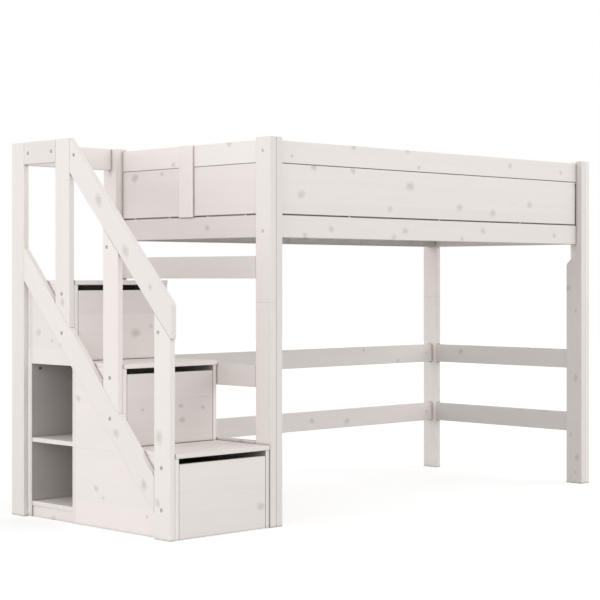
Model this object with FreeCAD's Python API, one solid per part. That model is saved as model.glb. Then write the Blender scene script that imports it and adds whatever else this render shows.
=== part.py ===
import FreeCAD, Part
import math
import os

# A loft bed of white-washed pine boards with a storage staircase at its left end.
# Lengths are in millimetres. While it is built, X runs along the bed from its left end,
# Y from the front to the back and Z up, with zero at the bed's front left foot. Each piece
# is moved at the end, so that zero lies on the floor under the middle of the whole object.

# Bed frame
bed_length = 2070.0
bed_width = 1020.0
post_height = 1520.0
board = 28.0
post_board = 31.0
post_width = 87.0
rail_width = 88.0
post_joint_height = 875.0

# Guard on the long sides and the ends
rail_drop = 10.0
panel_width = 198.0
top_groove = 2.0
bottom_groove = 5.0
panel_end_gap = 6.0
panel_slit = 10.0
end_panel_gap = 2.0
end_top_groove = 1.0
tongue = 7.0
tongue_inset = 5.0
side_recess = 31.0
end_recess = 8.0

# Rails below the bed, from the floor or down from the bottom rails
low_rail_height = 243.0
middle_rail_height = 542.0
stair_side_rail_gap = 73.0

# Curved notch of the boards inside the front posts
notch_below_rail = 36.0
notch_steepness = 1.2
notch_angle = math.radians(50.0)

# Slatted base
slat_count = 14
slat_width = 70.0
slat_thickness = 18.0
slat_side_gap = 2.0
slat_end_gap = 40.0
ledger_width = 28.0
ledger_height = 40.0
ledger_lift = 5.0
ledger_end_gap = 10.0

# Staircase frame
stair_width = 500.0
stair_board = 24.0
stair_setback = 7.0
step_count = 3
riser = 320.0
baluster_width = 94.0
stair_rail_width = 90.0
stringer_width = 94.0
stringer_drop = 191.0
handrail_width = 94.0
handrail_overhang = 7.0
handrail_nose_round = 12.0

# Staircase carcass and bookcase
carcass = 18.0
tread_thickness = 18.0
nosing = 4.0
tread_side_gap = 2.0
stair_gap = 2.0
rear_post_gap = 3.0
divider_lead = 6.0
plinth_height = 46.0
plinth_recess = 6.0
shelf_height = 304.0
shelf_recess = 2.0
opening_corner = 17.0

# Drawers
finger_gap = 22.0
drawer_front = 18.0
drawer_gap = 2.0
drawer_side = 12.0
drawer_base = 8.0
drawer_clearance = 3.0
drawer_lift = 1.5
drawer_box_height = 200.0
drawer_back_gap = 10.0

# Fasteners
bolt_head_radius = 7.0
bolt_head_length = 5.0
bolt_shank_radius = 4.0
bolt_grip = 60.0
bolt_nut_depth = 45.0
bottom_bolt_drop = 20.0
nut_radius = 5.0
nut_length = 20.0
stair_nut_radius = 7.5
stair_bolt_head_radius = 8.0
stair_bolt_head_length = 4.0
stair_bolt_shank_radius = 3.0
stair_bolt_bite = 12.0
stair_bolt_inset = 51.0
stair_bolt_drop = 35.0
stair_bolt_pitch = 156.0
stud_radius = 3.0
stud_reach = 30.0
rail_nut_depth = 28.0
slope_nut_depth = 34.0
slope_nut_inset = 70.0
dowel_radius = 5.0
panel_dowel_bite = 15.0
bottom_dowel_setback = 9.0
top_dowel_setback = 14.0
side_dowel_pitch = 558.0
end_dowel_pitch = 228.0
post_dowel_length = 60.0
post_dowel_pitch = 44.0
fit_gap = 0.2

# Edge treatment
edge_round = 3.0
end_round = 0.8

# Heights of the guard
rail_top = post_height - rail_drop
top_rail_z = (rail_top - rail_width, rail_top)
panel_z = (top_rail_z[0] - top_groove - panel_width, top_rail_z[0] - top_groove)
bottom_rail_z = (panel_z[0] - bottom_groove - rail_width, panel_z[0] - bottom_groove)

# Places along and across the bed
left_post_x = (0.0, post_board)
right_post_x = (bed_length - post_board, bed_length)
left_inner_x = (left_post_x[1], left_post_x[1] + post_board)
right_inner_x = (right_post_x[0] - post_board, right_post_x[0])
front_post_y = (0.0, post_width)
back_post_y = (bed_width - post_width, bed_width)
between_posts_x = (left_post_x[1], right_post_x[0])
between_posts_y = (front_post_y[1], back_post_y[0])
front_rail_y = (side_recess, side_recess + board)
back_rail_y = (bed_width - side_recess - board, bed_width - side_recess)
front_tongue_y = (front_rail_y[1] - tongue_inset - tongue, front_rail_y[1] - tongue_inset)
back_tongue_y = (back_rail_y[0] + tongue_inset, back_rail_y[0] + tongue_inset + tongue)
left_tongue_x = (left_post_x[1] - tongue_inset - tongue, left_post_x[1] - tongue_inset)
right_tongue_x = (right_post_x[0] + tongue_inset, right_post_x[0] + tongue_inset + tongue)

# Places of the staircase
frame_x = (-stair_width, -stair_width + stair_board)
box_x = (frame_x[1], -stair_gap)
inside_x = (box_x[0] + carcass, box_x[1] - carcass)
box_back = back_post_y[0] - rear_post_gap
inside_back = box_back - carcass
going = (box_back - stair_setback + nosing) / step_count
step_front = [stair_setback + going * step for step in range(step_count)]
tread_top = [riser * (step + 1) for step in range(step_count)]
tread_under = [top - tread_thickness for top in tread_top]
divider_y = (step_front[2] - divider_lead, step_front[2] - divider_lead + carcass)
slope = riser / going
slope_angle = math.atan(slope)
along_slope = FreeCAD.Vector(0, math.cos(slope_angle), math.sin(slope_angle))
across_slope = FreeCAD.Vector(0, -math.sin(slope_angle), math.cos(slope_angle))
newel_y = (step_front[0], step_front[0] + baluster_width)
lower_baluster_y = (step_front[1], step_front[1] + baluster_width)
upper_baluster_y = (step_front[2], step_front[2] + baluster_width)

X_AXIS = FreeCAD.Vector(1, 0, 0)
Y_AXIS = FreeCAD.Vector(0, 1, 0)
Z_AXIS = FreeCAD.Vector(0, 0, 1)

# Every piece by its name, each as a list of closed solids
pieces = {}


def stringer_top(y):
    """Height of the stringer's upper edge at a place across the bed."""
    return tread_top[0] + (y - step_front[0] + nosing) * slope - stringer_drop


def stringer_under(y):
    """Height of the stringer's lower edge."""
    return stringer_top(y) - stringer_width / math.cos(slope_angle)


def handrail_top(y):
    """Height of the handrail's upper edge, which meets the top of the upper baluster."""
    return post_height + (y - upper_baluster_y[0]) * slope


def handrail_under(y):
    """Height of the handrail's lower edge."""
    return handrail_top(y) - handrail_width / math.cos(slope_angle)


def middle(span):
    """Middle of a pair of limits."""
    return (span[0] + span[1]) / 2


def block(x, y, z):
    """Plain box between pairs of limits."""
    size = (x[1] - x[0], y[1] - y[0], z[1] - z[0])
    return Part.makeBox(*size, FreeCAD.Vector(x[0], y[0], z[0]))


def ease(solid, grain):
    """Round the edges along the grain, then ease the edges of the cut ends."""
    along = []
    for edge in solid.Edges:
        direction = edge.tangentAt(edge.FirstParameter)
        if isinstance(edge.Curve, Part.Line) and abs(direction.dot(grain)) > 0.999:
            along.append(edge)
    solid = solid.makeFillet(edge_round, along)
    ends = []
    for face in solid.Faces:
        if isinstance(face.Surface, Part.Plane) and abs(face.normalAt(0, 0).dot(grain)) > 0.5:
            ends.extend(face.Edges)
    return solid.makeFillet(end_round, ends)


def plank(x, y, z, grain):
    """Solid timber board with rounded edges along its grain."""
    return ease(block(x, y, z), grain)


def sheet(x, y, z):
    """Carcass panel with all its edges lightly eased."""
    solid = block(x, y, z)
    return solid.makeFillet(end_round, solid.Edges)


def profile(points, x):
    """Solid with a straight-sided outline in Y and Z, drawn out along X."""
    corners = [FreeCAD.Vector(x[0], y, z) for y, z in points]
    outline = Part.makePolygon(corners + corners[:1])
    return Part.Face(outline).extrude(X_AXIS * (x[1] - x[0]))


def rod(start, axis, radius, length):
    """Round bar from a point along an axis."""
    return Part.makeCylinder(radius, length, start, axis)


def bolt(start, axis, head, shank, length, gap=0.0):
    """Bolt with a round head, where start is the middle of the head's outer face.

    head is the head's radius and length, and gap widens the shape into its own hole.
    """
    cap = rod(start, axis, head[0] + gap, head[1])
    return cap.fuse(rod(start, axis, shank + gap, length + gap)).removeSplitter()


def add(name, *solids):
    """Keep a piece under its name."""
    pieces.setdefault(name, []).extend(solids)


def drill(name, cutter):
    """Cut a hole in every solid of a piece."""
    drilled = []
    for solid in pieces[name]:
        drilled.extend(solid.cut(cutter).Solids)
    pieces[name] = drilled


def build_posts():
    """Outer posts, each of two pieces stacked on the joint."""
    lower = (0.0, post_joint_height)
    upper = (post_joint_height, post_height)
    for y_name, y in (("front", front_post_y), ("back", back_post_y)):
        for x_name, x in (("left", left_post_x), ("right", right_post_x)):
            add(f"{y_name}_{x_name}_post_lower", plank(x, y, lower, Z_AXIS))
            add(f"{y_name}_{x_name}_post_upper", plank(x, y, upper, Z_AXIS))


def notched_board(x):
    """Full-height board inside a front post, narrowed in front of the side rails by a curve."""
    width = post_width - side_recess
    height = width * notch_steepness
    turn = math.sin(notch_angle)
    run = math.cos(notch_angle)
    bend = (height - width * run / turn) / (2 * turn - 2 * (1 - run) * run / turn)
    top = bottom_rail_z[0] - notch_below_rail
    foot = top - height

    def at(y, z):
        return FreeCAD.Vector(x[0], y, z)

    half = notch_angle / 2
    upper_middle = at(side_recess + bend * (1 - math.cos(half)), top - bend * math.sin(half))
    upper_end = at(side_recess + bend * (1 - run), top - bend * turn)
    lower_start = at(post_width - bend * (1 - run), foot + bend * turn)
    lower_middle = at(post_width - bend * (1 - math.cos(half)), foot + bend * math.sin(half))
    outline = Part.Wire([
        Part.makeLine(at(0, 0), at(0, post_height)),
        Part.makeLine(at(0, post_height), at(side_recess, post_height)),
        Part.makeLine(at(side_recess, post_height), at(side_recess, top)),
        Part.Arc(at(side_recess, top), upper_middle, upper_end).toShape(),
        Part.makeLine(upper_end, lower_start),
        Part.Arc(lower_start, lower_middle, at(post_width, foot)).toShape(),
        Part.makeLine(at(post_width, foot), at(post_width, 0)),
        Part.makeLine(at(post_width, 0), at(0, 0)),
    ])
    solid = Part.Face(outline).extrude(X_AXIS * (x[1] - x[0]))
    return solid.makeFillet(end_round, solid.Edges)


def build_inner_boards():
    """Notched boards that tie the two halves of each front post together."""
    add("front_left_inner_board", notched_board(left_inner_x))
    add("front_right_inner_board", notched_board(right_inner_x))


def tongued(panel, x, y):
    """Wide panel with the tongue that closes the gaps round it, down to the bottom rail."""
    tongue_z = (bottom_rail_z[1], panel_z[1] - edge_round)
    return panel.fuse(block(x, y, tongue_z)).removeSplitter()


def build_long_sides():
    """Top rail, wide panel and bottom rail of the front and the back."""
    tongue_x = (between_posts_x[0] + panel_end_gap, between_posts_x[1] - panel_end_gap)
    front_x = (left_inner_x[1] + panel_slit, right_inner_x[0] - panel_slit)
    sides = (("front", front_rail_y, front_x, front_tongue_y),
             ("back", back_rail_y, tongue_x, back_tongue_y))
    for name, y, panel_x, tongue_y in sides:
        panel = plank(panel_x, y, panel_z, X_AXIS)
        add(f"{name}_top_rail", plank(between_posts_x, y, top_rail_z, X_AXIS))
        add(f"{name}_panel", tongued(panel, tongue_x, tongue_y))
        add(f"{name}_bottom_rail", plank(between_posts_x, y, bottom_rail_z, X_AXIS))


def end_fields():
    """The two fields of a bed end, either side of its middle stile."""
    centre = bed_width / 2
    stile = (centre - post_width / 2, centre + post_width / 2)
    return stile, ((between_posts_y[0], stile[0]), (stile[1], between_posts_y[1]))


def build_ends():
    """Rails, panels and middle stile of both bed ends."""
    stile_y, fields = end_fields()
    thin = {"left": (left_post_x[0] + end_recess, left_post_x[1]),
            "right": (right_post_x[0], right_post_x[1] - end_recess)}
    full = {"left": left_post_x, "right": right_post_x}
    tongue_x = {"left": left_tongue_x, "right": right_tongue_x}
    stile_z = (bottom_rail_z[1], rail_top)
    end_panel_z = (panel_z[0], top_rail_z[0] - end_top_groove)
    for name in ("left", "right"):
        for field in fields:
            add(f"{name}_end_top_rails", plank(thin[name], field, top_rail_z, Y_AXIS))
            shown = (field[0] + end_panel_gap, field[1] - end_panel_gap)
            panel = plank(thin[name], shown, end_panel_z, Y_AXIS)
            add(f"{name}_end_panels", tongued(panel, tongue_x[name], field))
        add(f"{name}_end_stile", plank(full[name], stile_y, stile_z, Z_AXIS))
        add(f"{name}_end_bottom_rail", plank(thin[name], between_posts_y, bottom_rail_z, Y_AXIS))


def build_lower_rails():
    """Rails below the bed at both ends and at the back, with the front left open."""
    low = (low_rail_height, low_rail_height + rail_width)
    mid = (middle_rail_height, middle_rail_height + rail_width)
    high_top = bottom_rail_z[0] - stair_side_rail_gap
    high = (high_top - rail_width, high_top)
    for z in (low, mid, high):
        add("left_lower_rails", plank(left_post_x, between_posts_y, z, Y_AXIS))
    for z in (low, mid):
        add("right_lower_rails", plank(right_post_x, between_posts_y, z, Y_AXIS))
        add("back_lower_rails", plank(between_posts_x, back_rail_y, z, X_AXIS))


def build_slatted_base():
    """Slats across the bed, carried by a ledger on each long side."""
    ledger_z = (bottom_rail_z[0] + ledger_lift, bottom_rail_z[0] + ledger_lift + ledger_height)
    ledger_x = (between_posts_x[0] + ledger_end_gap, between_posts_x[1] - ledger_end_gap)
    front = (front_rail_y[1], front_rail_y[1] + ledger_width)
    back = (back_rail_y[0] - ledger_width, back_rail_y[0])
    for y in (front, back):
        add("slat_ledgers", plank(ledger_x, y, ledger_z, X_AXIS))
    slat_y = (front_rail_y[1] + slat_side_gap, back_rail_y[0] - slat_side_gap)
    slat_z = (ledger_z[1], ledger_z[1] + slat_thickness)
    first = between_posts_x[0] + slat_end_gap
    last = between_posts_x[1] - slat_end_gap - slat_width
    pitch = (last - first) / (slat_count - 1)
    for number in range(slat_count):
        start = first + pitch * number
        add("slats", plank((start, start + slat_width), slat_y, slat_z, Y_AXIS))


def build_stair_frame():
    """Posts, balusters and rails of the flat frame on the open side of the stairs."""
    stair_rail_z = (post_height - stair_rail_width, post_height)
    full_height = (0.0, post_height)
    inner_post_x = (-board, 0.0)
    guard_y = (middle(back_post_y) - stair_board / 2, middle(back_post_y) + stair_board / 2)
    short_y = (upper_baluster_y[1], back_post_y[0])
    add("stair_rear_post", plank(frame_x, back_post_y, full_height, Z_AXIS))
    add("stair_inner_post", plank(inner_post_x, back_post_y, full_height, Z_AXIS))
    add("stair_short_rail", plank(frame_x, short_y, stair_rail_z, Y_AXIS))
    add("stair_guard_rail", plank((frame_x[1], inner_post_x[0]), guard_y, stair_rail_z, X_AXIS))
    front, back = upper_baluster_y
    upper = profile([(front, stringer_top(front)), (back, stringer_top(back)),
                     (back, post_height), (front, post_height)], frame_x)
    front, back = lower_baluster_y
    lower = profile([(front, stringer_top(front)), (back, stringer_top(back)),
                     (back, handrail_under(back)), (front, handrail_under(front))], frame_x)
    front, back = newel_y
    newel = profile([(front, 0), (back, 0), (back, handrail_under(back)),
                     (front, handrail_under(front))], frame_x)
    add("stair_upper_baluster", ease(upper, Z_AXIS))
    add("stair_lower_baluster", ease(lower, Z_AXIS))
    add("stair_newel", ease(newel, Z_AXIS))
    front, back = newel_y[1], back_post_y[0]
    stringer = profile([(front, stringer_under(front)), (back, stringer_under(back)),
                        (back, stringer_top(back)), (front, stringer_top(front))], frame_x)
    add("stair_stringer", ease(stringer, along_slope))
    add("stair_handrail", handrail())


def handrail():
    """Sloping handrail with a level cut under its nose and a rounded upper corner there."""
    nose = newel_y[0] - handrail_overhang
    heel = upper_baluster_y[0]
    level = handrail_under(newel_y[0])
    rail = profile([(nose, level), (newel_y[0], level), (heel, handrail_under(heel)),
                    (heel, handrail_top(heel)), (nose, handrail_top(nose))], frame_x)
    corner = []
    for edge in rail.Edges:
        place = edge.CenterOfMass
        if abs(place.y - nose) < end_round and abs(place.z - handrail_top(nose)) < end_round:
            corner.append(edge)
    rail = rail.makeFillet(handrail_nose_round, corner)
    outline = []
    for face in rail.Faces:
        if abs(face.normalAt(0, 0).dot(X_AXIS)) > 0.999:
            outline.extend(face.Edges)
    return rail.makeFillet(edge_round, outline)


def build_carcass():
    """Side panels, back, treads and drawer floors of the storage steps."""
    outer_x = (box_x[0], inside_x[0])
    inner_x = (inside_x[1], box_x[1])
    level = [0.0] + tread_under
    for step in range(step_count):
        z = (level[step], level[step + 1])
        add("inner_side_panels", sheet(inner_x, (step_front[step], inside_back), z))
    for step in range(step_count - 1):
        z = (level[step], level[step + 1])
        add("outer_side_panels", sheet(outer_x, (step_front[step], divider_y[0]), z))
    add("stair_back_panel", sheet(box_x, (inside_back, box_back), (0.0, tread_under[2])))
    tread_x = (box_x[0] + tread_side_gap, box_x[1])
    tread_back = [step_front[1], step_front[2], box_back]
    for step in range(step_count):
        y = (step_front[step] - nosing, tread_back[step])
        add("stair_treads", plank(tread_x, y, (tread_under[step], tread_top[step]), X_AXIS))
    base_front = step_front[0] + drawer_front + drawer_gap
    floors = [((base_front, divider_y[0]), (0.0, carcass)),
              ((step_front[1], divider_y[0]), (tread_under[0], tread_top[0])),
              ((step_front[2], inside_back), (tread_under[1], tread_top[1]))]
    for y, z in floors:
        add("drawer_floors", sheet(inside_x, y, z))


def build_bookcase():
    """Open bookcase under the top step, facing the open side of the stairs."""
    corner_y = divider_y[1]
    corner_z = tread_under[1]
    face_x = (box_x[0], inside_x[0])
    plate = [(divider_y[0], 0), (corner_y, 0), (corner_y, corner_z), (inside_back, corner_z),
             (inside_back, tread_under[2]), (step_front[2], tread_under[2]),
             (step_front[2], corner_z), (divider_y[0], corner_z)]
    face = profile(plate, face_x)
    inner_corner = []
    for edge in face.Edges:
        place = edge.CenterOfMass
        if abs(place.y - corner_y) < end_round and abs(place.z - corner_z) < end_round:
            inner_corner.append(edge)
    face = face.makeFillet(opening_corner, inner_corner)
    add("bookcase_face", face.makeFillet(end_round, face.Edges))
    add("bookcase_divider", sheet(inside_x, divider_y, (0.0, tread_under[1])))
    bay_y = (divider_y[1], inside_back)
    shelf_x = (box_x[0] + shelf_recess, inside_x[1])
    add("bookcase_shelf", sheet(shelf_x, bay_y, (shelf_height, shelf_height + carcass)))
    add("bookcase_bottom", sheet(shelf_x, bay_y, (plinth_height, plinth_height + carcass)))
    plinth_x = (box_x[0] + plinth_recess, box_x[0] + plinth_recess + carcass)
    add("bookcase_plinth", sheet(plinth_x, bay_y, (0.0, plinth_height)))


def build_drawers():
    """A front and a box for each step's drawer."""
    front_x = (inside_x[0] + drawer_gap, inside_x[1] - drawer_gap)
    hull_x = (inside_x[0] + drawer_clearance, inside_x[1] - drawer_clearance)
    bay_x = (hull_x[0] + drawer_side, hull_x[1] - drawer_side)
    floor_top = [carcass, tread_top[0], tread_top[1]]
    front_foot = [drawer_gap, tread_top[0] + drawer_gap, tread_top[1] + drawer_gap]
    bay_back = [divider_y[0], divider_y[0], inside_back]
    for step in range(step_count):
        name = f"drawer_{step + 1}"
        face_y = (step_front[step], step_front[step] + drawer_front)
        face_z = (front_foot[step], tread_under[step] - finger_gap)
        box_y = (face_y[1], bay_back[step] - drawer_back_gap)
        foot = floor_top[step] + drawer_lift
        wall_z = (foot, foot + drawer_box_height)
        base_z = (foot, foot + drawer_base)
        back_y = (box_y[1] - drawer_side, box_y[1])
        add(f"{name}_front", sheet(front_x, face_y, face_z))
        add(f"{name}_box",
            sheet((hull_x[0], bay_x[0]), box_y, wall_z),
            sheet((bay_x[1], hull_x[1]), box_y, wall_z),
            sheet(bay_x, back_y, wall_z),
            sheet(bay_x, (box_y[0], back_y[0]), base_z))


def fit_bed_bolts():
    """Bolts through the outer posts into barrel nuts in the ends of the long rails."""
    head = (bolt_head_radius, bolt_head_length)
    bottom = middle(bottom_rail_z) - bottom_bolt_drop
    rows = [("front", front_rail_y, "top_rail", "upper", middle(top_rail_z)),
            ("front", front_rail_y, "bottom_rail", "upper", bottom),
            ("back", back_rail_y, "top_rail", "upper", middle(top_rail_z)),
            ("back", back_rail_y, "bottom_rail", "upper", bottom),
            ("back", back_rail_y, "lower_rails", "lower", middle_rail_height + rail_width / 2),
            ("back", back_rail_y, "lower_rails", "lower", low_rail_height + rail_width / 2)]
    inward = {"front": -1, "back": 1}
    inner_face = {"front": front_rail_y[1], "back": back_rail_y[0]}
    for side, rail_y, rail, half, z in rows:
        for end, start, axis in (("left", 0.0, X_AXIS), ("right", bed_length, -X_AXIS)):
            place = FreeCAD.Vector(start, middle(rail_y), z)
            length = post_board + bolt_grip
            hole = bolt(place, axis, head, bolt_shank_radius, length, fit_gap)
            nut_at = place + axis * (post_board + bolt_nut_depth)
            nut_at.y = inner_face[side]
            into = Y_AXIS * inward[side]
            drill(f"{side}_{end}_post_{half}", hole)
            drill(f"{side}_{rail}", hole)
            drill(f"{side}_{rail}", rod(nut_at, into, nut_radius + fit_gap, nut_length + fit_gap))
            add("bed_bolts", bolt(place, axis, head, bolt_shank_radius, length))
            add("bed_barrel_nuts", rod(nut_at, into, nut_radius, nut_length).cut(hole))


def fit_dowel(start, axis, length, hosts):
    """One wooden dowel and its holes in the pieces that it joins."""
    for name in hosts:
        drill(name, rod(start - axis * fit_gap, axis, dowel_radius + fit_gap, length + 2 * fit_gap))
    add("wooden_dowels", rod(start, axis, dowel_radius, length))


def fit_panel_dowels():
    """Dowels that hold the wide panels between their rails across the grooves."""
    gaps = [(panel_z[0] - bottom_groove, bottom_groove, "bottom_rail", "bottom_rail", bottom_dowel_setback),
            (panel_z[1], top_groove, "top_rail", "top_rails", top_dowel_setback)]
    centre_x = middle(between_posts_x)
    for z, gap, side_rail, end_rail, setback in gaps:
        side_y = {"front": front_rail_y[0] + setback, "back": back_rail_y[1] - setback}
        end_x = {"left": left_post_x[0] + end_recess + setback,
                 "right": right_post_x[1] - end_recess - setback}
        foot = z - panel_dowel_bite
        length = gap + 2 * panel_dowel_bite
        for side in ("front", "back"):
            for shift in (-side_dowel_pitch, 0.0, side_dowel_pitch):
                start = FreeCAD.Vector(centre_x + shift, side_y[side], foot)
                fit_dowel(start, Z_AXIS, length, (f"{side}_panel", f"{side}_{side_rail}"))
        for end in ("left", "right"):
            for field in end_fields()[1]:
                for shift in (-end_dowel_pitch / 2, end_dowel_pitch / 2):
                    start = FreeCAD.Vector(end_x[end], middle(field) + shift, foot)
                    fit_dowel(start, Z_AXIS, length, (f"{end}_end_panels", f"{end}_end_{end_rail}"))


def fit_post_dowels():
    """Dowels between the two stacked pieces of each outer post."""
    for side, post_y in (("front", front_post_y), ("back", back_post_y)):
        for end, post_x in (("left", left_post_x), ("right", right_post_x)):
            hosts = (f"{side}_{end}_post_lower", f"{side}_{end}_post_upper")
            for shift in (-post_dowel_pitch / 2, post_dowel_pitch / 2):
                start = FreeCAD.Vector(middle(post_x), middle(post_y) + shift,
                                       post_joint_height - post_dowel_length / 2)
                fit_dowel(start, Z_AXIS, post_dowel_length, hosts)


def fit_stair_bolts():
    """Two bolts at each step from the stair frame into the carcass."""
    head = (stair_bolt_head_radius, stair_bolt_head_length)
    length = stair_board + stair_bolt_bite
    hosts = [(("stair_newel", "outer_side_panels"), ("stair_newel", "outer_side_panels")),
             (("stair_lower_baluster", "outer_side_panels"), ("stair_stringer", "outer_side_panels")),
             (("stair_upper_baluster", "bookcase_face"), ("stair_stringer", "bookcase_face"))]
    for step in range(step_count):
        top = tread_under[step] - stair_bolt_drop
        for names, z in zip(hosts[step], (top, top - stair_bolt_pitch)):
            place = FreeCAD.Vector(frame_x[0], step_front[step] + stair_bolt_inset, z)
            hole = bolt(place, X_AXIS, head, stair_bolt_shank_radius, length, fit_gap)
            for name in names:
                drill(name, hole)
            add("stair_bolts", bolt(place, X_AXIS, head, stair_bolt_shank_radius, length))


def fit_stud(nut_at, axis, depth, hosts):
    """A barrel nut in the face of the stair frame, with its stud across a joint."""
    nut_at = FreeCAD.Vector(frame_x[0], nut_at[0], nut_at[1])
    nut_hole = rod(nut_at, X_AXIS, stair_nut_radius + fit_gap, nut_length + fit_gap)
    stud_at = nut_at + X_AXIS * (stair_board / 2)
    length = depth + stud_reach
    stud_hole = rod(stud_at, axis, stud_radius + fit_gap, length + fit_gap)
    drill(hosts[0], nut_hole)
    for name in hosts:
        drill(name, stud_hole)
    back = rod(stud_at - axis * stair_nut_radius, axis, stud_radius + fit_gap, 2 * stair_nut_radius)
    add("stair_barrel_nuts", rod(nut_at, X_AXIS, stair_nut_radius, nut_length).cut(back))
    add("stair_studs", rod(stud_at, axis, stud_radius, length))


def fit_stair_studs():
    """Barrel nuts and studs that join the rails, posts and balusters of the stair frame."""
    rail_z = post_height - stair_rail_width / 2
    heel = upper_baluster_y[0]
    heel_z = (handrail_under(heel) + handrail_top(heel)) / 2
    fit_stud((upper_baluster_y[1] + rail_nut_depth, rail_z), -Y_AXIS, rail_nut_depth,
             ("stair_short_rail", "stair_upper_baluster"))
    fit_stud((back_post_y[0] - rail_nut_depth, rail_z), Y_AXIS, rail_nut_depth,
             ("stair_short_rail", "stair_rear_post"))
    fit_stud((heel - rail_nut_depth, heel_z), Y_AXIS, rail_nut_depth,
             ("stair_handrail", "stair_upper_baluster"))
    for name, y in (("stair_lower_baluster", lower_baluster_y), ("stair_newel", newel_y)):
        nut_y = y[0] + slope_nut_inset
        nut_z = handrail_under(nut_y) - slope_nut_depth / math.cos(slope_angle)
        fit_stud((nut_y, nut_z), across_slope, slope_nut_depth, (name, "stair_handrail"))


def export():
    """Write each piece, with zero on the floor under the middle of the object."""
    os.makedirs("parts", exist_ok=True)
    shift = FreeCAD.Vector((stair_width - bed_length) / 2, -bed_width / 2, 0)
    for name, solids in pieces.items():
        placed = [solid.translated(shift) for solid in solids]
        shape = placed[0] if len(placed) == 1 else Part.makeCompound(placed)
        shape.exportStep(f"parts/{name}.step")
        volume = sum(solid.Volume for solid in placed)
        print(f"{name}: {len(placed)} solid(s), {volume / 1000:.0f} cm3")


build_posts()
build_inner_boards()
build_long_sides()
build_ends()
build_lower_rails()
build_slatted_base()
build_stair_frame()
build_carcass()
build_bookcase()
build_drawers()
fit_bed_bolts()
fit_panel_dowels()
fit_post_dowels()
fit_stair_bolts()
fit_stair_studs()
export()
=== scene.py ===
"""Loft bed of white-washed knotty pine with a storage staircase, dressed for its portrait.

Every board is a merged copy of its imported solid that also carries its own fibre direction, size, seed and
knots, so one pine finish can draw grain that follows each board. The slats and the fasteners, apart from the
studs, are made with Geometry Nodes. Lengths are in metres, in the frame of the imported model.
"""
import logging
import math
import random
from collections.abc import Sequence
from dataclasses import dataclass
from enum import Enum
from functools import partial
from typing import Any

import bmesh
import bpy
import numpy as np
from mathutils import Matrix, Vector


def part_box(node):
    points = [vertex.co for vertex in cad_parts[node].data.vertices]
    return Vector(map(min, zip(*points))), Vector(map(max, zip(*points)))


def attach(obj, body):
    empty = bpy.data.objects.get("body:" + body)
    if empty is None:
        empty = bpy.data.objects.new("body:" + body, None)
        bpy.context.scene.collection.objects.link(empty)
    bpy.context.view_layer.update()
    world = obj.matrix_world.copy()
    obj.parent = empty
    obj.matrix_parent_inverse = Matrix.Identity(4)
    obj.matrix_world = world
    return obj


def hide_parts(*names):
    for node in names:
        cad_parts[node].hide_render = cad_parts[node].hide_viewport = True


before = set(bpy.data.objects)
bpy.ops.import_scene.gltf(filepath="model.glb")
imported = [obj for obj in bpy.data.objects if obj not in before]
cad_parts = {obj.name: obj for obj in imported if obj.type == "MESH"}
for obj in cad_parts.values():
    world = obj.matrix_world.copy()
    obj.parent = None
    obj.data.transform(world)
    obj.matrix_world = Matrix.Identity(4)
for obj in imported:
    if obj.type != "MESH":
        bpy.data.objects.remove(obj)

Colour = tuple[float, float, float, float]
Point = tuple[float, float, float]
Box = tuple[Vector, Vector]

LOG = logging.getLogger("loft_bed")
FIXED_BODY = "bed_frame"
STAIR_RISE = 0.320
STAIR_GOING = 0.309
WASH = (0.885, 0.845, 0.828, 1.0)
GRAIN_SEED = 7
KNOTS_PER_BOARD = 8
# A knot at a place that no board reaches.
NO_KNOT = (40.0, 40.0, 0.01)
# Nearly all of a soft noise lies between these values.
NOISE_RANGE = (0.2, 0.8)


class Grain(Enum):
    """Way that a board's fibres run in the assembled object."""

    LENGTH = "length"
    DEPTH = "depth"
    HEIGHT = "height"
    SLOPE = "slope"

    def axis(self) -> np.ndarray:
        """Give a unit vector along the fibres."""
        ways = {Grain.LENGTH: (1, 0, 0), Grain.DEPTH: (0, 1, 0), Grain.HEIGHT: (0, 0, 1),
                Grain.SLOPE: (0, STAIR_GOING, STAIR_RISE)}
        return np.array(Vector(ways[self]).normalized(), float)


class Facing(Enum):
    """Side on which a row of fasteners shows its heads."""

    OUT_OF_ENDS = "out of the bed's ends"
    INTO_BED = "into the bed"
    OPEN_SIDE = "towards the open side of the stairs"
    UPWARDS = "upwards"


class Value:
    """One output in a node tree, with which plain sums can be written."""

    def __init__(self, wire: "Wiring", socket: bpy.types.NodeSocket) -> None:
        """Keep the socket and the wiring of its tree."""
        self.wire = wire
        self.socket = socket

    def __add__(self, other: Any) -> "Value":
        """Add another value or a number."""
        return self.wire.math("ADD", self, other)

    def __sub__(self, other: Any) -> "Value":
        """Take another value or a number away."""
        return self.wire.math("SUBTRACT", self, other)

    def __rsub__(self, other: float) -> "Value":
        """Take this value away from a number."""
        return self.wire.math("SUBTRACT", other, self)

    def __mul__(self, other: Any) -> "Value":
        """Multiply by another value or a number."""
        return self.wire.math("MULTIPLY", self, other)

    def __truediv__(self, other: Any) -> "Value":
        """Divide by another value or a number."""
        return self.wire.math("DIVIDE", self, other)

    def __pow__(self, power: float) -> "Value":
        """Raise to a power."""
        return self.wire.math("POWER", self, power)


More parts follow.
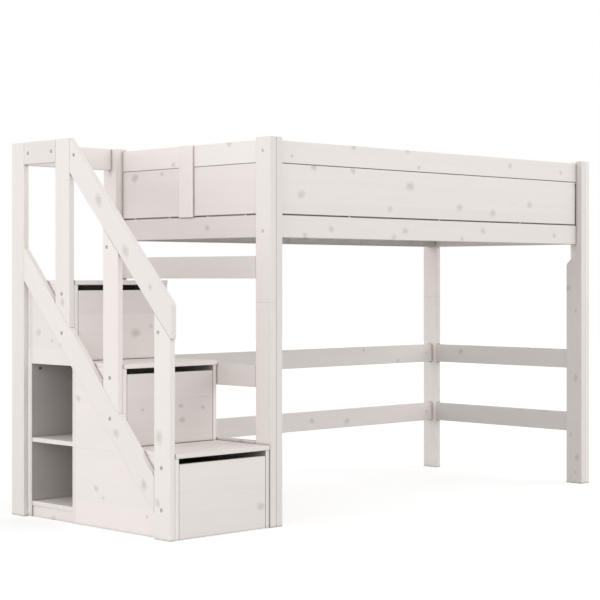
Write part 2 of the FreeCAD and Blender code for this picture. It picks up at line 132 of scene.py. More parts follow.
class Wiring:
    """Short ways to add and join nodes in one tree."""

    def __init__(self, tree: bpy.types.NodeTree) -> None:
        """Keep the tree that the nodes go into."""
        self.tree = tree

    def add(self, kind: str, feeds: dict[Any, Any] | None = None, **settings: Any) -> bpy.types.Node:
        """Add a node.

        Args:
            kind: The node's Blender type.
            feeds: What goes into its inputs, by their labels or numbers.
            settings: Properties to set on it first.

        Returns:
            The new node.
        """
        node = self.tree.nodes.new(kind)
        for name, setting in settings.items():
            setattr(node, name, setting)
        for label, value in (feeds or {}).items():
            self.feed(node.inputs[label], value)
        return node

    def feed(self, socket: bpy.types.NodeSocket, value: Any) -> None:
        """Join an output to an input, or write a constant on it.

        Args:
            socket: The input to fill.
            value: A value, an output socket or a constant.
        """
        source = value.socket if isinstance(value, Value) else value
        if isinstance(source, bpy.types.NodeSocket):
            self.tree.links.new(source, socket)
        else:
            socket.default_value = source

    def get(self, kind: str, output: str | int, feeds: dict[Any, Any] | None = None,
            **settings: Any) -> Value:
        """Add a node and give the output that is named."""
        return Value(self, self.add(kind, feeds, **settings).outputs[output])

    def math(self, operation: str, *values: Any, clamp: bool = False) -> Value:
        """Add a Math node.

        Args:
            operation: The sum to do.
            values: Its inputs in order.
            clamp: Whether the result is held between 0 and 1.

        Returns:
            The result.
        """
        feeds = dict(enumerate(values))
        return self.get("ShaderNodeMath", 0, feeds, operation=operation, use_clamp=clamp)

    def vector(self, operation: str, *values: Any) -> Value:
        """Add a Vector Math node and give its vector result."""
        return self.get("ShaderNodeVectorMath", 0, dict(enumerate(values)), operation=operation)

    def split(self, value: Any) -> list[Value]:
        """Give the three parts of a vector."""
        return [Value(self, part) for part in self.add("ShaderNodeSeparateXYZ", {0: value}).outputs]

    def join(self, x: Any, y: Any, z: Any) -> Value:
        """Make a vector of three parts."""
        return self.get("ShaderNodeCombineXYZ", 0, {0: x, 1: y, 2: z})

    def noise(self, place: Any, stretch: Point, detail: float = 2.0) -> Value:
        """Add a soft noise.

        Args:
            place: Where to sample it.
            stretch: Its blobs per metre along each axis.
            detail: Number of finer layers.

        Returns:
            A value around one half.
        """
        feeds = {"Vector": self.vector("MULTIPLY", place, stretch), "Scale": 1.0, "Detail": detail}
        return self.get("ShaderNodeTexNoise", "Fac", feeds)

    def fade(self, value: Any, start: float, end: float, low: float = 0.0, high: float = 1.0) -> Value:
        """Move smoothly from one value to another.

        Args:
            value: What drives the change.
            start: Where it begins.
            end: Where it is complete.
            low: The result before the start.
            high: The result after the end.

        Returns:
            The eased value.
        """
        feeds = {"Value": value, "From Min": start, "From Max": end, "To Min": low, "To Max": high}
        return self.get("ShaderNodeMapRange", "Result", feeds, interpolation_type="SMOOTHSTEP")

    def mix(self, share: Any, first: Any, second: Any, blend: str = "MIX") -> Value:
        """Mix two colours.

        Args:
            share: How much of the second to use.
            first: The first colour.
            second: The second colour.
            blend: How they are combined.

        Returns:
            The mixed colour.
        """
        feeds = {"Factor": share, "A": first, "B": second}
        return self.get("ShaderNodeMix", "Result", feeds, data_type="RGBA", blend_type=blend)

    def read(self, name: str, output: str) -> Value:
        """Read an attribute that the mesh carries, from the output called Vector or Fac."""
        return self.get("ShaderNodeAttribute", output, attribute_name=name)

    def surface(self, height: Value, strength: float, depth: float, feeds: dict[str, Any]) -> None:
        """End a material in a shader with fine relief.

        Args:
            height: The relief.
            strength: How strongly it shows.
            depth: Its depth.
            feeds: The shader's other inputs by their labels.
        """
        bump = {"Height": height, "Strength": strength, "Distance": depth}
        relief = self.get("ShaderNodeBump", "Normal", bump)
        shader = self.get("ShaderNodeBsdfPrincipled", "BSDF", {**feeds, "Normal": relief})
        self.add("ShaderNodeOutputMaterial", {"Surface": shader})


@dataclass(frozen=True)
class PineKnot:
    """How one knot is drawn on a board's face.

    Attributes:
        spread: How much larger than its given radius the knot is drawn.
        length: Its length along the grain over its width.
        lean_draw: Factor that turns a knot's place into a lean of its own.
        heart: Where its heart begins and is full, in radii.
        rim_outside: Where the dark rim begins and is full on its outside.
        rim_inside: Where it begins and is full on its inside.
        push_reach: How far it bends the rings along and across the grain, in radii.
        wobble: Least factor of its uneven outline, and how much more it may be.
        wobble_grain: Waves of that outline per metre along each axis.
    """

    name: str = "pine_knot"
    spread: float = 1.3
    length: float = 1.35
    lean_draw: float = 7.31
    heart: tuple[float, float] = (1.15, 0.30)
    rim_outside: tuple[float, float] = (1.25, 0.95)
    rim_inside: tuple[float, float] = (0.55, 0.90)
    push_reach: tuple[float, float] = (2.6, 1.7)
    wobble: tuple[float, float] = (0.55, 0.9)
    wobble_grain: Point = (45.0, 60.0, 20.0)

    def draw(self, wire: Wiring, place: Value, moved: Value) -> tuple[Value, Value, Value]:
        """Draw the knots that a board carries.

        Args:
            wire: The material's wiring.
            place: Where a point lies in its board.
            moved: The same point in the log that the board was cut from.

        Returns:
            The knots' hearts, their rims, and how far they push the rings aside.
        """
        wobble = wire.noise(moved, self.wobble_grain) * self.wobble[1] + self.wobble[0]
        group = self.group()
        heart: Any = 0.0
        rim: Any = 0.0
        push: Any = 0.0
        for number in range(KNOTS_PER_BOARD):
            feeds = {"Place": place, "Knot": wire.read(f"knot_{number}", "Vector"), "Wobble": wobble}
            drawn = wire.add("ShaderNodeGroup", feeds, node_tree=group).outputs
            heart = wire.math("MAXIMUM", heart, drawn["Heart"])
            rim = wire.math("MAXIMUM", rim, drawn["Rim"])
            push = wire.math("ADD", push, drawn["Push"])
        return heart, rim, push

    def group(self) -> bpy.types.NodeTree:
        """Make the node group once.

        Returns:
            A group with the knot's heart, its rim and how far it pushes the rings aside.
        """
        if self.name in bpy.data.node_groups:
            return bpy.data.node_groups[self.name]
        tree = bpy.data.node_groups.new(self.name, "ShaderNodeTree")
        for label, way, kind in (("Place", "INPUT", "Vector"), ("Knot", "INPUT", "Vector"),
                                 ("Wobble", "INPUT", "Float"), ("Heart", "OUTPUT", "Float"),
                                 ("Rim", "OUTPUT", "Float"), ("Push", "OUTPUT", "Float")):
            tree.interface.new_socket(label, in_out=way, socket_type=f"NodeSocket{kind}")
        wire = Wiring(tree)
        given = wire.add("NodeGroupInput").outputs
        x, y, _ = wire.split(given["Place"])
        knot_x, knot_y, size = wire.split(given["Knot"])
        radius = size * self.spread
        along = x - knot_x
        across = y - knot_y
        lean = wire.math("FRACT", knot_x * self.lean_draw) - 0.5
        long_part = (along + across * lean) / (radius * self.length)
        wide_part = (across - along * lean) / radius
        away = wire.math("SQRT", long_part ** 2.0 + wide_part ** 2.0) * given["Wobble"]
        rim = wire.fade(away, *self.rim_outside) * wire.fade(away, *self.rim_inside)
        bend = (long_part / self.push_reach[0]) ** 2.0 + (wide_part / self.push_reach[1]) ** 2.0
        push = wire.math("EXPONENT", bend * -1.0) * radius
        wire.add("NodeGroupOutput", {"Heart": wire.fade(away, *self.heart), "Rim": rim, "Push": push})
        return tree


@dataclass(frozen=True)
class YearRings:
    """Rings of the log that a board was cut from.

    Attributes:
        gap: Distance from ring to ring.
        sideways: How far to the sides the heart of the log may lie.
        nearest: Least distance from the board's middle down to the heart.
        farther: How much deeper the heart may lie.
        sway: How far the rings wander along the board.
        ripple: Height of their fine waves.
        push: How strongly knots bend them.
        sway_grain: Slow bends per metre along each axis.
        ripple_grain: Fine waves per metre.
        patch_grain: Stretches of stronger and fainter rings per metre.
        patches: Values of that noise at the faintest and at the full rings.
        faintest: Strength of the rings in the faintest stretches.
        darkening: Where in a year the late wood begins, and where it is darkest.
        ending: Where in a year it has ended, and where it begins to end.
    """

    gap: float = 0.0052
    sideways: float = 0.12
    nearest: float = 0.035
    farther: float = 0.07
    sway: float = 0.045
    ripple: float = 0.003
    push: float = 0.75
    sway_grain: Point = (1.3, 5.0, 5.0)
    ripple_grain: Point = (7.0, 30.0, 30.0)
    patch_grain: Point = (1.1, 26.0, 26.0)
    patches: tuple[float, float] = (0.36, 0.68)
    faintest: float = 0.12
    darkening: tuple[float, float] = (0.25, 0.86)
    ending: tuple[float, float] = (1.0, 0.92)

    def late_wood(self, wire: Wiring, moved: Value, draws: Sequence[Value], cross: tuple[Value, Value],
                  knot_push: Value) -> Value:
        """Draw the rings that the board's faces cut through.

        Args:
            wire: The material's wiring.
            moved: A point in the log.
            draws: Random draws that set where the heart of the log lay.
            cross: The point's places across the board's width and thickness.
            knot_push: How far knots push the rings aside.

        Returns:
            The dark late wood, from 0 to 1.
        """
        sway = wire.noise(moved, self.sway_grain, 1.0) - 0.5
        ripple = wire.noise(moved, self.ripple_grain) - 0.5
        side = cross[0] + (draws[0] - 0.5) * self.sideways
        deep = cross[1] + (draws[1] * self.farther + self.nearest)
        from_heart = wire.math("SQRT", side ** 2.0 + deep ** 2.0)
        grown = from_heart + sway * self.sway + ripple * self.ripple + knot_push * self.push
        year = wire.math("FRACT", grown / self.gap)
        line = wire.fade(year, *self.darkening) * wire.fade(year, *self.ending)
        patch = wire.noise(moved, self.patch_grain)
        return line * wire.fade(patch, *self.patches, self.faintest, 1.0)


@dataclass(frozen=True)
class Finish:
    """What a surface is made of.

    Attributes:
        name: The material's name.
    """

    name: str

    def material(self) -> bpy.types.Material:
        """Make the material once and give it."""
        if self.name in bpy.data.materials:
            return bpy.data.materials[self.name]
        material = bpy.data.materials.new(self.name)
        material.use_nodes = True
        material.node_tree.nodes.clear()
        self.draw(Wiring(material.node_tree))
        return material

    def draw(self, wire: Wiring) -> None:
        """Join the finish together in an empty material; each kind of finish has its own."""
        raise NotImplementedError


@dataclass(frozen=True)
class WashedPine(Finish):
    """White-washed knotty pine, drawn from what each board carries.

    Attributes:
        paint: Colour of the wash.
        timber: Colour of the pale early wood below it.
        late_wood: Colour of the darker lines between the rings.
        knot: Colour of a knot's heart.
        bark: Colour of the ring round a knot.
        tints: The two shades of white that boards vary between.
        tone: Least brightness of a board, and how much more it may have.
        cover: How much of the timber the wash hides.
        heart_thin: How much less of a knot's heart it hides.
        edge_thin: How much less of the worn edges it hides.
        cloud_thin: How much its cover changes slowly over a board.
        fibre_thin: How much it changes from fibre to fibre.
        ring_show: How strongly the rings show in bare timber.
        heart_show: How strongly the hearts of knots do.
        rim_show: How strongly their rims do.
        rings: The log's rings.
        stave: Width of the strips that a panel is glued from.
        seed_spread: Factor that sets the boards' random draws apart.
        log_steps: How far apart boards may lie in the log, along and across the grain.
        fibre_grain: Fine streaks per metre along each axis.
        cloud_grain: Slow changes of tone per metre.
        wear_width: Width of the worn edges.
        wear_ragged: How much the fibres break their line up.
        roughness: Mean roughness of the dried wash.
        fibre_rough: How much it changes from fibre to fibre.
        heart_smooth: How much less of it a knot's heart has.
        specular: Strength of its gloss.
        relief: Height of late wood, fibres and hearts in the raised grain.
        relief_show: How strongly the raised grain shows, and its depth.
        painted_shade_colour: Colour of the painted shade in narrow gaps and inner corners.
        painted_shade_reach: How close another surface has to be for such a painted shade.
        painted_shade_depth: How strongly the painted shade shows.
        painted_shade_open: How open a place is where the painted shade begins, and where it is deepest.
        unshaded_open_end: How much plain paint the board has on its end towards the open side, where the
            painted shade of an inside board stops.
        unshaded_open_end_width: Where that plain paint begins and is full, from the end.
    """

    paint: Colour = WASH
    timber: Colour = (0.80, 0.722, 0.672, 1.0)
    late_wood: Colour = (0.52, 0.44, 0.39, 1.0)
    knot: Colour = (0.33, 0.275, 0.24, 1.0)
    bark: Colour = (0.25, 0.21, 0.185, 1.0)
    tints: tuple[Colour, Colour] = ((1.0, 0.985, 0.985, 1.0), (1.0, 1.0, 0.985, 1.0))
    tone: tuple[float, float] = (0.955, 0.05)
    cover: float = 0.80
    heart_thin: float = 0.20
    edge_thin: float = 0.16
    cloud_thin: float = 0.22
    fibre_thin: float = 0.12
    ring_show: float = 0.34
    heart_show: float = 0.85
    rim_show: float = 0.45
    rings: YearRings = YearRings()
    stave: float = 1.0
    seed_spread: float = 91.7
    log_steps: tuple[float, float] = (30.0, 9.0)
    fibre_grain: Point = (4.0, 260.0, 260.0)
    cloud_grain: Point = (1.6, 9.0, 9.0)
    wear_width: float = 0.0045
    wear_ragged: float = 0.008
    roughness: float = 0.56
    fibre_rough: float = 0.16
    heart_smooth: float = 0.10
    specular: float = 0.30
    relief: Point = (0.5, 0.6, 0.5)
    relief_show: tuple[float, float] = (0.30, 0.0006)
    painted_shade_colour: Colour = (0.17, 0.14, 0.12, 1.0)
    painted_shade_reach: float = 0.013
    painted_shade_depth: float = 0.60
    painted_shade_open: tuple[float, float] = (0.93, 0.42)
    unshaded_open_end: float = 0.0
    unshaded_open_end_width: tuple[float, float] = (0.0020, 0.0008)

    def draw(self, wire: Wiring) -> None:
        """Join the finish together.

        Args:
            wire: The material's wiring.
        """
        place = wire.read("grain_place", "Vector")
        half = wire.read("board_half", "Vector")
        x, y, z = wire.split(place)
        strip = wire.math("FLOOR", (y + self.stave / 2) / self.stave)
        cell = wire.join(wire.read("board_seed", "Fac") * self.seed_spread, strip, 0.0)
        chance = wire.get("ShaderNodeTexWhiteNoise", "Color", {"Vector": cell}, noise_dimensions="2D")
        draws = wire.split(chance)
        moved = wire.join(x + draws[2] * self.log_steps[0], y + draws[0] * self.log_steps[1], z)
        heart, rim, push = PineKnot().draw(wire, place, moved)
        late = self.rings.late_wood(wire, moved, draws, (y, z), push)
        fibre = wire.noise(moved, self.fibre_grain, 3.0)
        cloud = wire.noise(moved, self.cloud_grain)
        bare = wire.mix(late * self.ring_show, self.timber, self.late_wood)
        bare = wire.mix(heart * self.heart_show, bare, self.knot)
        bare = wire.mix(rim * self.rim_show, bare, self.bark)
        thin = heart * self.heart_thin + self.worn_edges(wire, place, half, fibre) * self.edge_thin
        thin = thin + (0.5 - cloud) * self.cloud_thin + (0.5 - fibre) * self.fibre_thin
        hides = wire.math("SUBTRACT", self.cover, thin, clamp=True)
        colour = self.toned(wire, wire.mix(hides, bare, self.paint), draws)
        # Plain paint on the open end, where an inside board's painted shade stops.
        open_end = wire.fade(x + wire.split(half)[0], *self.unshaded_open_end_width)
        colour = wire.mix(open_end * self.unshaded_open_end, colour, WASH)
        # Painted shade: ambient occlusion darkens the colour in narrow gaps and inner corners.
        colour = wire.mix(self.corners(wire) * self.painted_shade_depth, colour, self.painted_shade_colour)
        smoothest = self.roughness - self.fibre_rough / 2
        rough = fibre * self.fibre_rough + smoothest - heart * self.heart_smooth
        relief = late * self.relief[0] + fibre * self.relief[1] + heart * self.relief[2]
        feeds = {"Base Color": colour, "Roughness": rough, "Specular IOR Level": self.specular}
        wire.surface(relief, *self.relief_show, feeds)

    def worn_edges(self, wire: Wiring, place: Value, half: Value, fibre: Value) -> Value:
        """Find where hands and feet have thinned the wash, along the board's edges and ends.

        Args:
            wire: The material's wiring.
            place: Where a point lies in its board.
            half: Half of the board's size.
            fibre: Fine streaks that break the worn line up.

        Returns:
            The wear, from 0 to 1.
        """
        inset = wire.split(wire.vector("SUBTRACT", half, wire.vector("ABSOLUTE", place)))
        small = wire.math("MINIMUM", inset[1], inset[2])
        large = wire.math("MAXIMUM", inset[1], inset[2])
        second = wire.math("MAXIMUM", small, wire.math("MINIMUM", large, inset[0]))
        return wire.fade(second + (fibre - 0.5) * self.wear_ragged, self.wear_width, 0.0)

    def toned(self, wire: Wiring, washed: Value, draws: Sequence[Value]) -> Value:
        """Give each board a random tint and brightness of its own, and the painted shade or light that it
        carries.

        Args:
            wire: The material's wiring.
            washed: The colour of the washed timber.
            draws: The board's random draws.

        Returns:
            The toned colour.
        """
        tint = wire.mix(draws[0], *self.tints)
        # The board's painted shade darkens it; a negative one lightens it as painted light.
        level = (draws[1] * self.tone[1] + self.tone[0]) * (1.0 - wire.read("board_shade", "Fac"))
        tinted = wire.mix(1.0, washed, tint, "MULTIPLY")
        return wire.mix(1.0, tinted, wire.join(level, level, level), "MULTIPLY")

    def corners(self, wire: Wiring) -> Value:
        """Find, for painted shade, the narrow gaps and inner corners between neighbouring boards, from 0 to
        1.
        """
        near = wire.get("ShaderNodeAmbientOcclusion", "AO", {"Distance": self.painted_shade_reach}, samples=6)
        return wire.fade(near, *self.painted_shade_open)


@dataclass(frozen=True)
class PlatedSteel(Finish):
    """Zinc-plated steel of the fasteners.

    Attributes:
        bright: Colour where the plating is clean.
        dull: Colour of the stains on it.
        stain_grain: Stains per metre along each axis.
        stains: Where a stain ends and where the plating is clean.
        scratch_grain: Scratches per metre along each axis.
        roughness: Least and greatest roughness.
        metal: How metallic the plating is.
        relief_show: How strongly the scratches show, and their depth.
    """

    bright: Colour = (0.62, 0.61, 0.59, 1.0)
    dull: Colour = (0.40, 0.39, 0.375, 1.0)
    stain_grain: Point = (420.0, 420.0, 420.0)
    stains: tuple[float, float] = (0.35, 0.65)
    scratch_grain: Point = (900.0, 900.0, 160.0)
    roughness: tuple[float, float] = (0.32, 0.55)
    metal: float = 0.85
    relief_show: tuple[float, float] = (0.2, 0.0002)

    def draw(self, wire: Wiring) -> None:
        """Join the finish together.

        Args:
            wire: The material's wiring.
        """
        place = wire.get("ShaderNodeTexCoord", "Object")
        clean = wire.fade(wire.noise(place, self.stain_grain, 3.0), *self.stains)
        scratch = wire.noise(place, self.scratch_grain)
        feeds = {"Base Color": wire.mix(clean, self.dull, self.bright), "Metallic": self.metal,
                 "Roughness": wire.fade(scratch, *NOISE_RANGE, *self.roughness)}
        wire.surface(scratch, *self.relief_show, feeds)


@dataclass(frozen=True)
class BareBeech(Finish):
    """Pale beech of the dowels.

    Attributes:
        pale: Colour of the wood.
        fleck: Colour of its short flecks.
        fleck_grain: Flecks per metre along each axis.
        flecks: Where a fleck begins and where it is full.
        roughness: Least and greatest roughness.
        specular: Strength of its gloss.
        relief_show: How strongly the flecks stand out, and their depth.
    """

    pale: Colour = (0.87, 0.82, 0.76, 1.0)
    fleck: Colour = (0.76, 0.68, 0.60, 1.0)
    fleck_grain: Point = (700.0, 700.0, 90.0)
    flecks: tuple[float, float] = (0.45, 0.75)
    roughness: tuple[float, float] = (0.55, 0.72)
    specular: float = 0.25
    relief_show: tuple[float, float] = (0.25, 0.0002)

    def draw(self, wire: Wiring) -> None:
        """Join the finish together.

        Args:
            wire: The material's wiring.
        """
        flecks = wire.noise(wire.get("ShaderNodeTexCoord", "Object"), self.fleck_grain)
        colour = wire.mix(wire.fade(flecks, *self.flecks), self.pale, self.fleck)
        feeds = {"Base Color": colour, "Specular IOR Level": self.specular,
                 "Roughness": wire.fade(flecks, *NOISE_RANGE, *self.roughness)}
        wire.surface(flecks, *self.relief_show, feeds)


FRAME_PINE = WashedPine("washed_pine_board")
GUARD_PINE = WashedPine("washed_pine_guard_panel", stave=0.099)
PANEL_PINE = WashedPine("washed_pine_panel", stave=0.086, painted_shade_depth=0.35)
BACK_PINE = WashedPine("washed_pine_back_panel", stave=0.086, painted_shade_depth=0.35, heart_thin=0.75,
                       knot=(0.05, 0.042, 0.036, 1.0))
# Painted shade: darker paint and timber for the bookcase divider and the drawer floors inside the steps.
SHADED_INSIDE_PINE = WashedPine("washed_pine_inside_painted_shade", stave=0.086, cover=0.62, paint=(0.54, 0.51, 0.49, 1.0),
                         timber=(0.47, 0.425, 0.39, 1.0), unshaded_open_end=1.0)
SLAT_PINE = WashedPine("washed_pine_slat", cover=0.62, roughness=0.66)
BOX_PINE = WashedPine("washed_pine_drawer", cover=0.60, stave=0.11, roughness=0.64,
                      paint=(0.60, 0.57, 0.55, 1.0), timber=(0.50, 0.455, 0.42, 1.0))
BRIGHT_STEEL = PlatedSteel("bright_plated_steel", (0.77, 0.755, 0.74, 1.0), (0.62, 0.61, 0.595, 1.0))
DULL_STEEL = PlatedSteel("dull_plated_steel")
BEECH = BareBeech("bare_beech")


def islands(bm: bmesh.types.BMesh) -> list[list[int]]:
    """Sort a mesh's vertices into its separate solids.

    Args:
        bm: A merged mesh.

    Returns:
        The vertex numbers of each solid, in the order of their first vertex.
    """
    bm.verts.ensure_lookup_table()
    seen = [False] * len(bm.verts)
    groups: list[list[int]] = []
    for start in bm.verts:
        if seen[start.index]:
            continue
        seen[start.index] = True
        stack = [start]
        group = []
        while stack:
            vertex = stack.pop()
            group.append(vertex.index)
            for edge in vertex.link_edges:
                other = edge.other_vert(vertex)
                if not seen[other.index]:
                    seen[other.index] = True
                    stack.append(other)
        groups.append(group)
    return groups


def merged_copy(node: str, weld: float = 1e-6) -> bmesh.types.BMesh:
    """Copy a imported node's mesh with its loose triangles merged.

    Args:
        node: The node's name.
        weld: How close points have to be to be merged.

    Returns:
        The merged mesh.
    """
    bm = bmesh.new()
    bm.from_mesh(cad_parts[node].data)
    bmesh.ops.remove_doubles(bm, verts=bm.verts, dist=weld)
    bm.verts.index_update()
    return bm


def solid_boxes(node: str) -> list[Box]:
    """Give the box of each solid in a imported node.

    Args:
        node: The node's name.

    Returns:
        The lowest and highest corner of each solid.
    """
    bm = merged_copy(node)
    boxes = []
    for group in islands(bm):
        points = np.array([bm.verts[number].co for number in group], float)
        boxes.append((Vector(points.min(0)), Vector(points.max(0))))
    bm.free()
    return boxes


def link(data: bpy.types.ID, name: str) -> bpy.types.Object:
    """Put a mesh, a lamp or a camera into the scene as an object at the origin."""
    thing = bpy.data.objects.new(name, data)
    bpy.context.scene.collection.objects.link(thing)
    return thing


def plain_mesh(thing: bpy.types.Object, name: str) -> bpy.types.Object:
    """Replace an object and its modifiers by the mesh that they make.

    Args:
        thing: The object with live modifiers.
        name: The finished piece's name.

    Returns:
        The finished piece.
    """
    graph = bpy.context.evaluated_depsgraph_get()
    mesh = bpy.data.meshes.new_from_object(thing.evaluated_get(graph), depsgraph=graph)
    mesh.name = name
    bpy.data.objects.remove(thing)
    return link(mesh, name)


def declare(piece: bpy.types.Object, node: str, body: str = FIXED_BODY) -> None:
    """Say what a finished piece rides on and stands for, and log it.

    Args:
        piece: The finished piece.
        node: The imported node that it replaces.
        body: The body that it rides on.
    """
    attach(piece, body)
    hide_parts(node)
    LOG.info("%s on %s: %d faces", piece.name, body, len(piece.data.polygons))


@dataclass(frozen=True)
class Knot:
    """A knot in a board's face, given by its place in the assembled object.

    Attributes:
        place: A point on or near the board's face.
        radius: Half of the knot's width across the grain.
    """

    place: Point
    radius: float


def end_knots(x: float, *spots: Point) -> tuple[Knot, ...]:
    """Place knots on a face that looks along the bed.

    Args:
        x: Where the face lies along the bed.
        spots: Each knot's place in depth, its height and its radius.

    Returns:
        The knots.
    """
    return tuple(Knot((x, depth, height), radius) for depth, height, radius in spots)


def side_knots(y: float, *spots: Point) -> tuple[Knot, ...]:
    """Place knots on a face that looks across the bed.

    Args:
        y: Where the face lies in depth.
        spots: Each knot's place along the bed, its height and its radius.

    Returns:
        The knots.
    """
    return tuple(Knot((along, y, height), radius) for along, height, radius in spots)


@dataclass(frozen=True)
class Board:
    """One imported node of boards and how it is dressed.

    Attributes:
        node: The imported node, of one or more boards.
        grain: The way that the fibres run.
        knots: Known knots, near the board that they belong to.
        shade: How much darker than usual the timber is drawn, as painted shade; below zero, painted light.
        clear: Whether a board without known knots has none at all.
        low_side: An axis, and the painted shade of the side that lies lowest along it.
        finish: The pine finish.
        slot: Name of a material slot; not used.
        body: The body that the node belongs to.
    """

    node: str
    grain: Grain
    knots: tuple[Knot, ...] = ()
    shade: float = 0.0
    clear: bool = False
    low_side: tuple[int, float] | None = None
    finish: WashedPine = FRAME_PINE
    slot: str = "frame_pine"
    body: str = FIXED_BODY


@dataclass
class BoardMaker:
    """Turns imported boards into dressed pieces that carry their own grain.

    Attributes:
        dice: The draws for seeds and for knots that the photograph doesn't show.
        sharp: Angle from which an edge stays sharp.
        broad: Least width of a face that is shaded as a flat one.
        normal_steps: Steps in a unit normal's parts; faces in the same step count as parallel.
        plane_steps: Steps to the metre; parallel faces in the same step count as one plane.
        side_reach: How far from its lowest points a side reaches.
        knot_reach: How far outside a board a known knot may be given.
        knot_spacing: Length of board for each random knot.
        knot_margin: Share of a board's width that random knots may lie in.
        knot_radii: Least and greatest radius of random knots.
    """

    dice: random.Random
    sharp: float = math.radians(40.0)
    broad: float = 0.008
    normal_steps: float = 300.0
    plane_steps: float = 20000.0
    side_reach: float = 0.0002
    knot_reach: float = 0.02
    knot_spacing: float = 0.42
    knot_margin: float = 0.85
    knot_radii: tuple[float, float] = (0.005, 0.013)

    def make(self, board: Board) -> None:
        """Make the finished piece for one node.

        Boards that touch share edges, where smooth normals would go wrong, so such a node is shaded flat.

        Args:
            board: The node and how it is dressed.
        """
        bm = merged_copy(board.node)
        groups = islands(bm)
        points = np.array([vertex.co for vertex in bm.verts], float)
        touching = any(len(edge.link_faces) > 2 for edge in bm.edges)
        name = f"{board.node}_timber"
        mesh = bpy.data.meshes.new(name)
        bm.to_mesh(mesh)
        bm.free()
        for label, values in self.layers(board, points, groups).items():
            kind, part = ("FLOAT", "value") if values.ndim == 1 else ("FLOAT_VECTOR", "vector")
            layer = mesh.attributes.new(label, kind, "POINT")
            layer.data.foreach_set(part, values.astype(np.float32).ravel())
        mesh.materials.append(board.finish.material())
        thing = link(mesh, f"{name}_draft")
        if touching:
            mesh.shade_flat()
            piece = plain_mesh(thing, name)
        else:
            mesh.shade_smooth()
            mesh.set_sharp_from_angle(angle=self.sharp)
            weigh = thing.modifiers.new("broad_faces", "WEIGHTED_NORMAL")
            weigh.keep_sharp = True
            weigh.weight = 100
            piece = plain_mesh(thing, name)
            self.flatten_broad_faces(piece.data)
        declare(piece, board.node, board.body)

    def flatten_broad_faces(self, mesh: bpy.types.Mesh) -> None:
        """Give every corner of a broad flat face that face's own normal.

        Narrow strips, as on rounded edges and in holes, keep their smooth normals.

        Args:
            mesh: A mesh of triangles.
        """
        count = len(mesh.polygons)
        normals = np.zeros((count, 3), np.float32)
        areas = np.zeros(count, np.float32)
        corners = np.zeros(count * 3, np.int32)
        points = np.zeros((len(mesh.vertices), 3), np.float32)
        shading = np.zeros((count, 3, 3), np.float32)
        mesh.polygons.foreach_get("normal", normals.ravel())
        mesh.polygons.foreach_get("area", areas)
        mesh.loops.foreach_get("vertex_index", corners)
        mesh.vertices.foreach_get("co", points.ravel())
        mesh.corner_normals.foreach_get("vector", shading.ravel())
        faces = points[corners].reshape(count, 3, 3)
        levels = (faces[:, 0] * normals).sum(1)
        planes = np.column_stack((normals * self.normal_steps, levels * self.plane_steps))
        plane = np.unique(np.round(planes).astype(int), axis=0, return_inverse=True)[1].ravel()
        low = np.full((plane.max() + 1, 3), np.inf)
        high = -low
        np.minimum.at(low, plane, faces.min(1))
        np.maximum.at(high, plane, faces.max(1))
        broad = (np.bincount(plane, areas) / (high - low).max(1) > self.broad)[plane]
        shading[broad] = normals[broad][:, None, :]
        mesh.normals_split_custom_set(shading.reshape(-1, 3))

    def layers(self, board: Board, points: np.ndarray, groups: list[list[int]]) -> dict[str, np.ndarray]:
        """Work out what every vertex says about its board.

        Args:
            board: The node and how it is dressed.
            points: The vertices' places.
            groups: The vertex numbers of each board in the node.

        Returns:
            The layers' values by name.
        """
        count = len(points)
        knot_names = [f"knot_{number}" for number in range(KNOTS_PER_BOARD)]
        layers = {name: np.zeros((count, 3)) for name in ("grain_place", "board_half", *knot_names)}
        layers["board_seed"] = np.zeros(count)
        # Painted shade of the whole board, and another on its lowest side where one is given.
        layers["board_shade"] = np.full(count, board.shade)
        if board.low_side:
            axis, shade = board.low_side
            levels = points[:, axis]
            layers["board_shade"][levels < levels.min() + self.side_reach] = shade
        for group in groups:
            axes = self.axes(points[group], board.grain.axis())
            local = points[group] @ axes.T
            low, high = local.min(0), local.max(0)
            centre, half = (low + high) / 2, (high - low) / 2
            layers["grain_place"][group] = local - centre
            layers["board_half"][group] = half
            layers["board_seed"][group] = self.dice.random()
            for name, spot in zip(knot_names, self.knots(board, axes, centre, half)):
                layers[name][group] = spot
        return layers

    @staticmethod
    def axes(points: np.ndarray, along: np.ndarray) -> np.ndarray:
        """Give a board's own axes: along the grain, across its width and through its thickness.

        Args:
            points: The board's vertices.
            along: The fibre direction.

        Returns:
            The three unit vectors as rows.
        """
        first = np.array((1.0, 0.0, 0.0)) if abs(along[0]) < 0.5 else np.array((0.0, 1.0, 0.0))
        second = np.cross(along, first)
        if np.ptp(points @ first) < np.ptp(points @ second):
            first, second = second, first
        return np.array((along, first, second))

    def knots(self, board: Board, axes: np.ndarray, centre: np.ndarray, half: np.ndarray) -> list[Point]:
        """Choose one board's knots: the known ones in it, or random ones if there are none.

        A clear board takes its random draws too, so that the boards after it keep theirs.

        Args:
            board: The node and how it is dressed.
            axes: The board's own axes.
            centre: The board's middle in those axes.
            half: Half of its size.

        Returns:
            For each knot its place along and across the board and its radius.
        """
        spots = []
        for knot in board.knots:
            local = axes @ np.array(knot.place) - centre
            if np.all(np.abs(local) < half + self.knot_reach):
                spots.append((local[0], local[1], knot.radius))
        if not spots:
            wanted = min(KNOTS_PER_BOARD, max(1, round(half[0] * 2 / self.knot_spacing)))
            for _ in range(wanted):
                along = self.dice.uniform(-1, 1) * half[0]
                across = self.dice.uniform(-self.knot_margin, self.knot_margin) * half[1]
                spots.append((along, across, self.dice.uniform(*self.knot_radii)))
            if board.clear:
                spots = []
        return (spots + [NO_KNOT] * KNOTS_PER_BOARD)[:KNOTS_PER_BOARD]


class BoardGroup:
    """Sub-assembly that is made of dressed boards."""

    def boards(self) -> list[Board]:
        """List the boards in the order in which they are made; each sub-assembly has its own."""
        raise NotImplementedError

    def build(self, maker: BoardMaker) -> None:
        """Make every board with the maker."""
        for board in self.boards():
            maker.make(board)


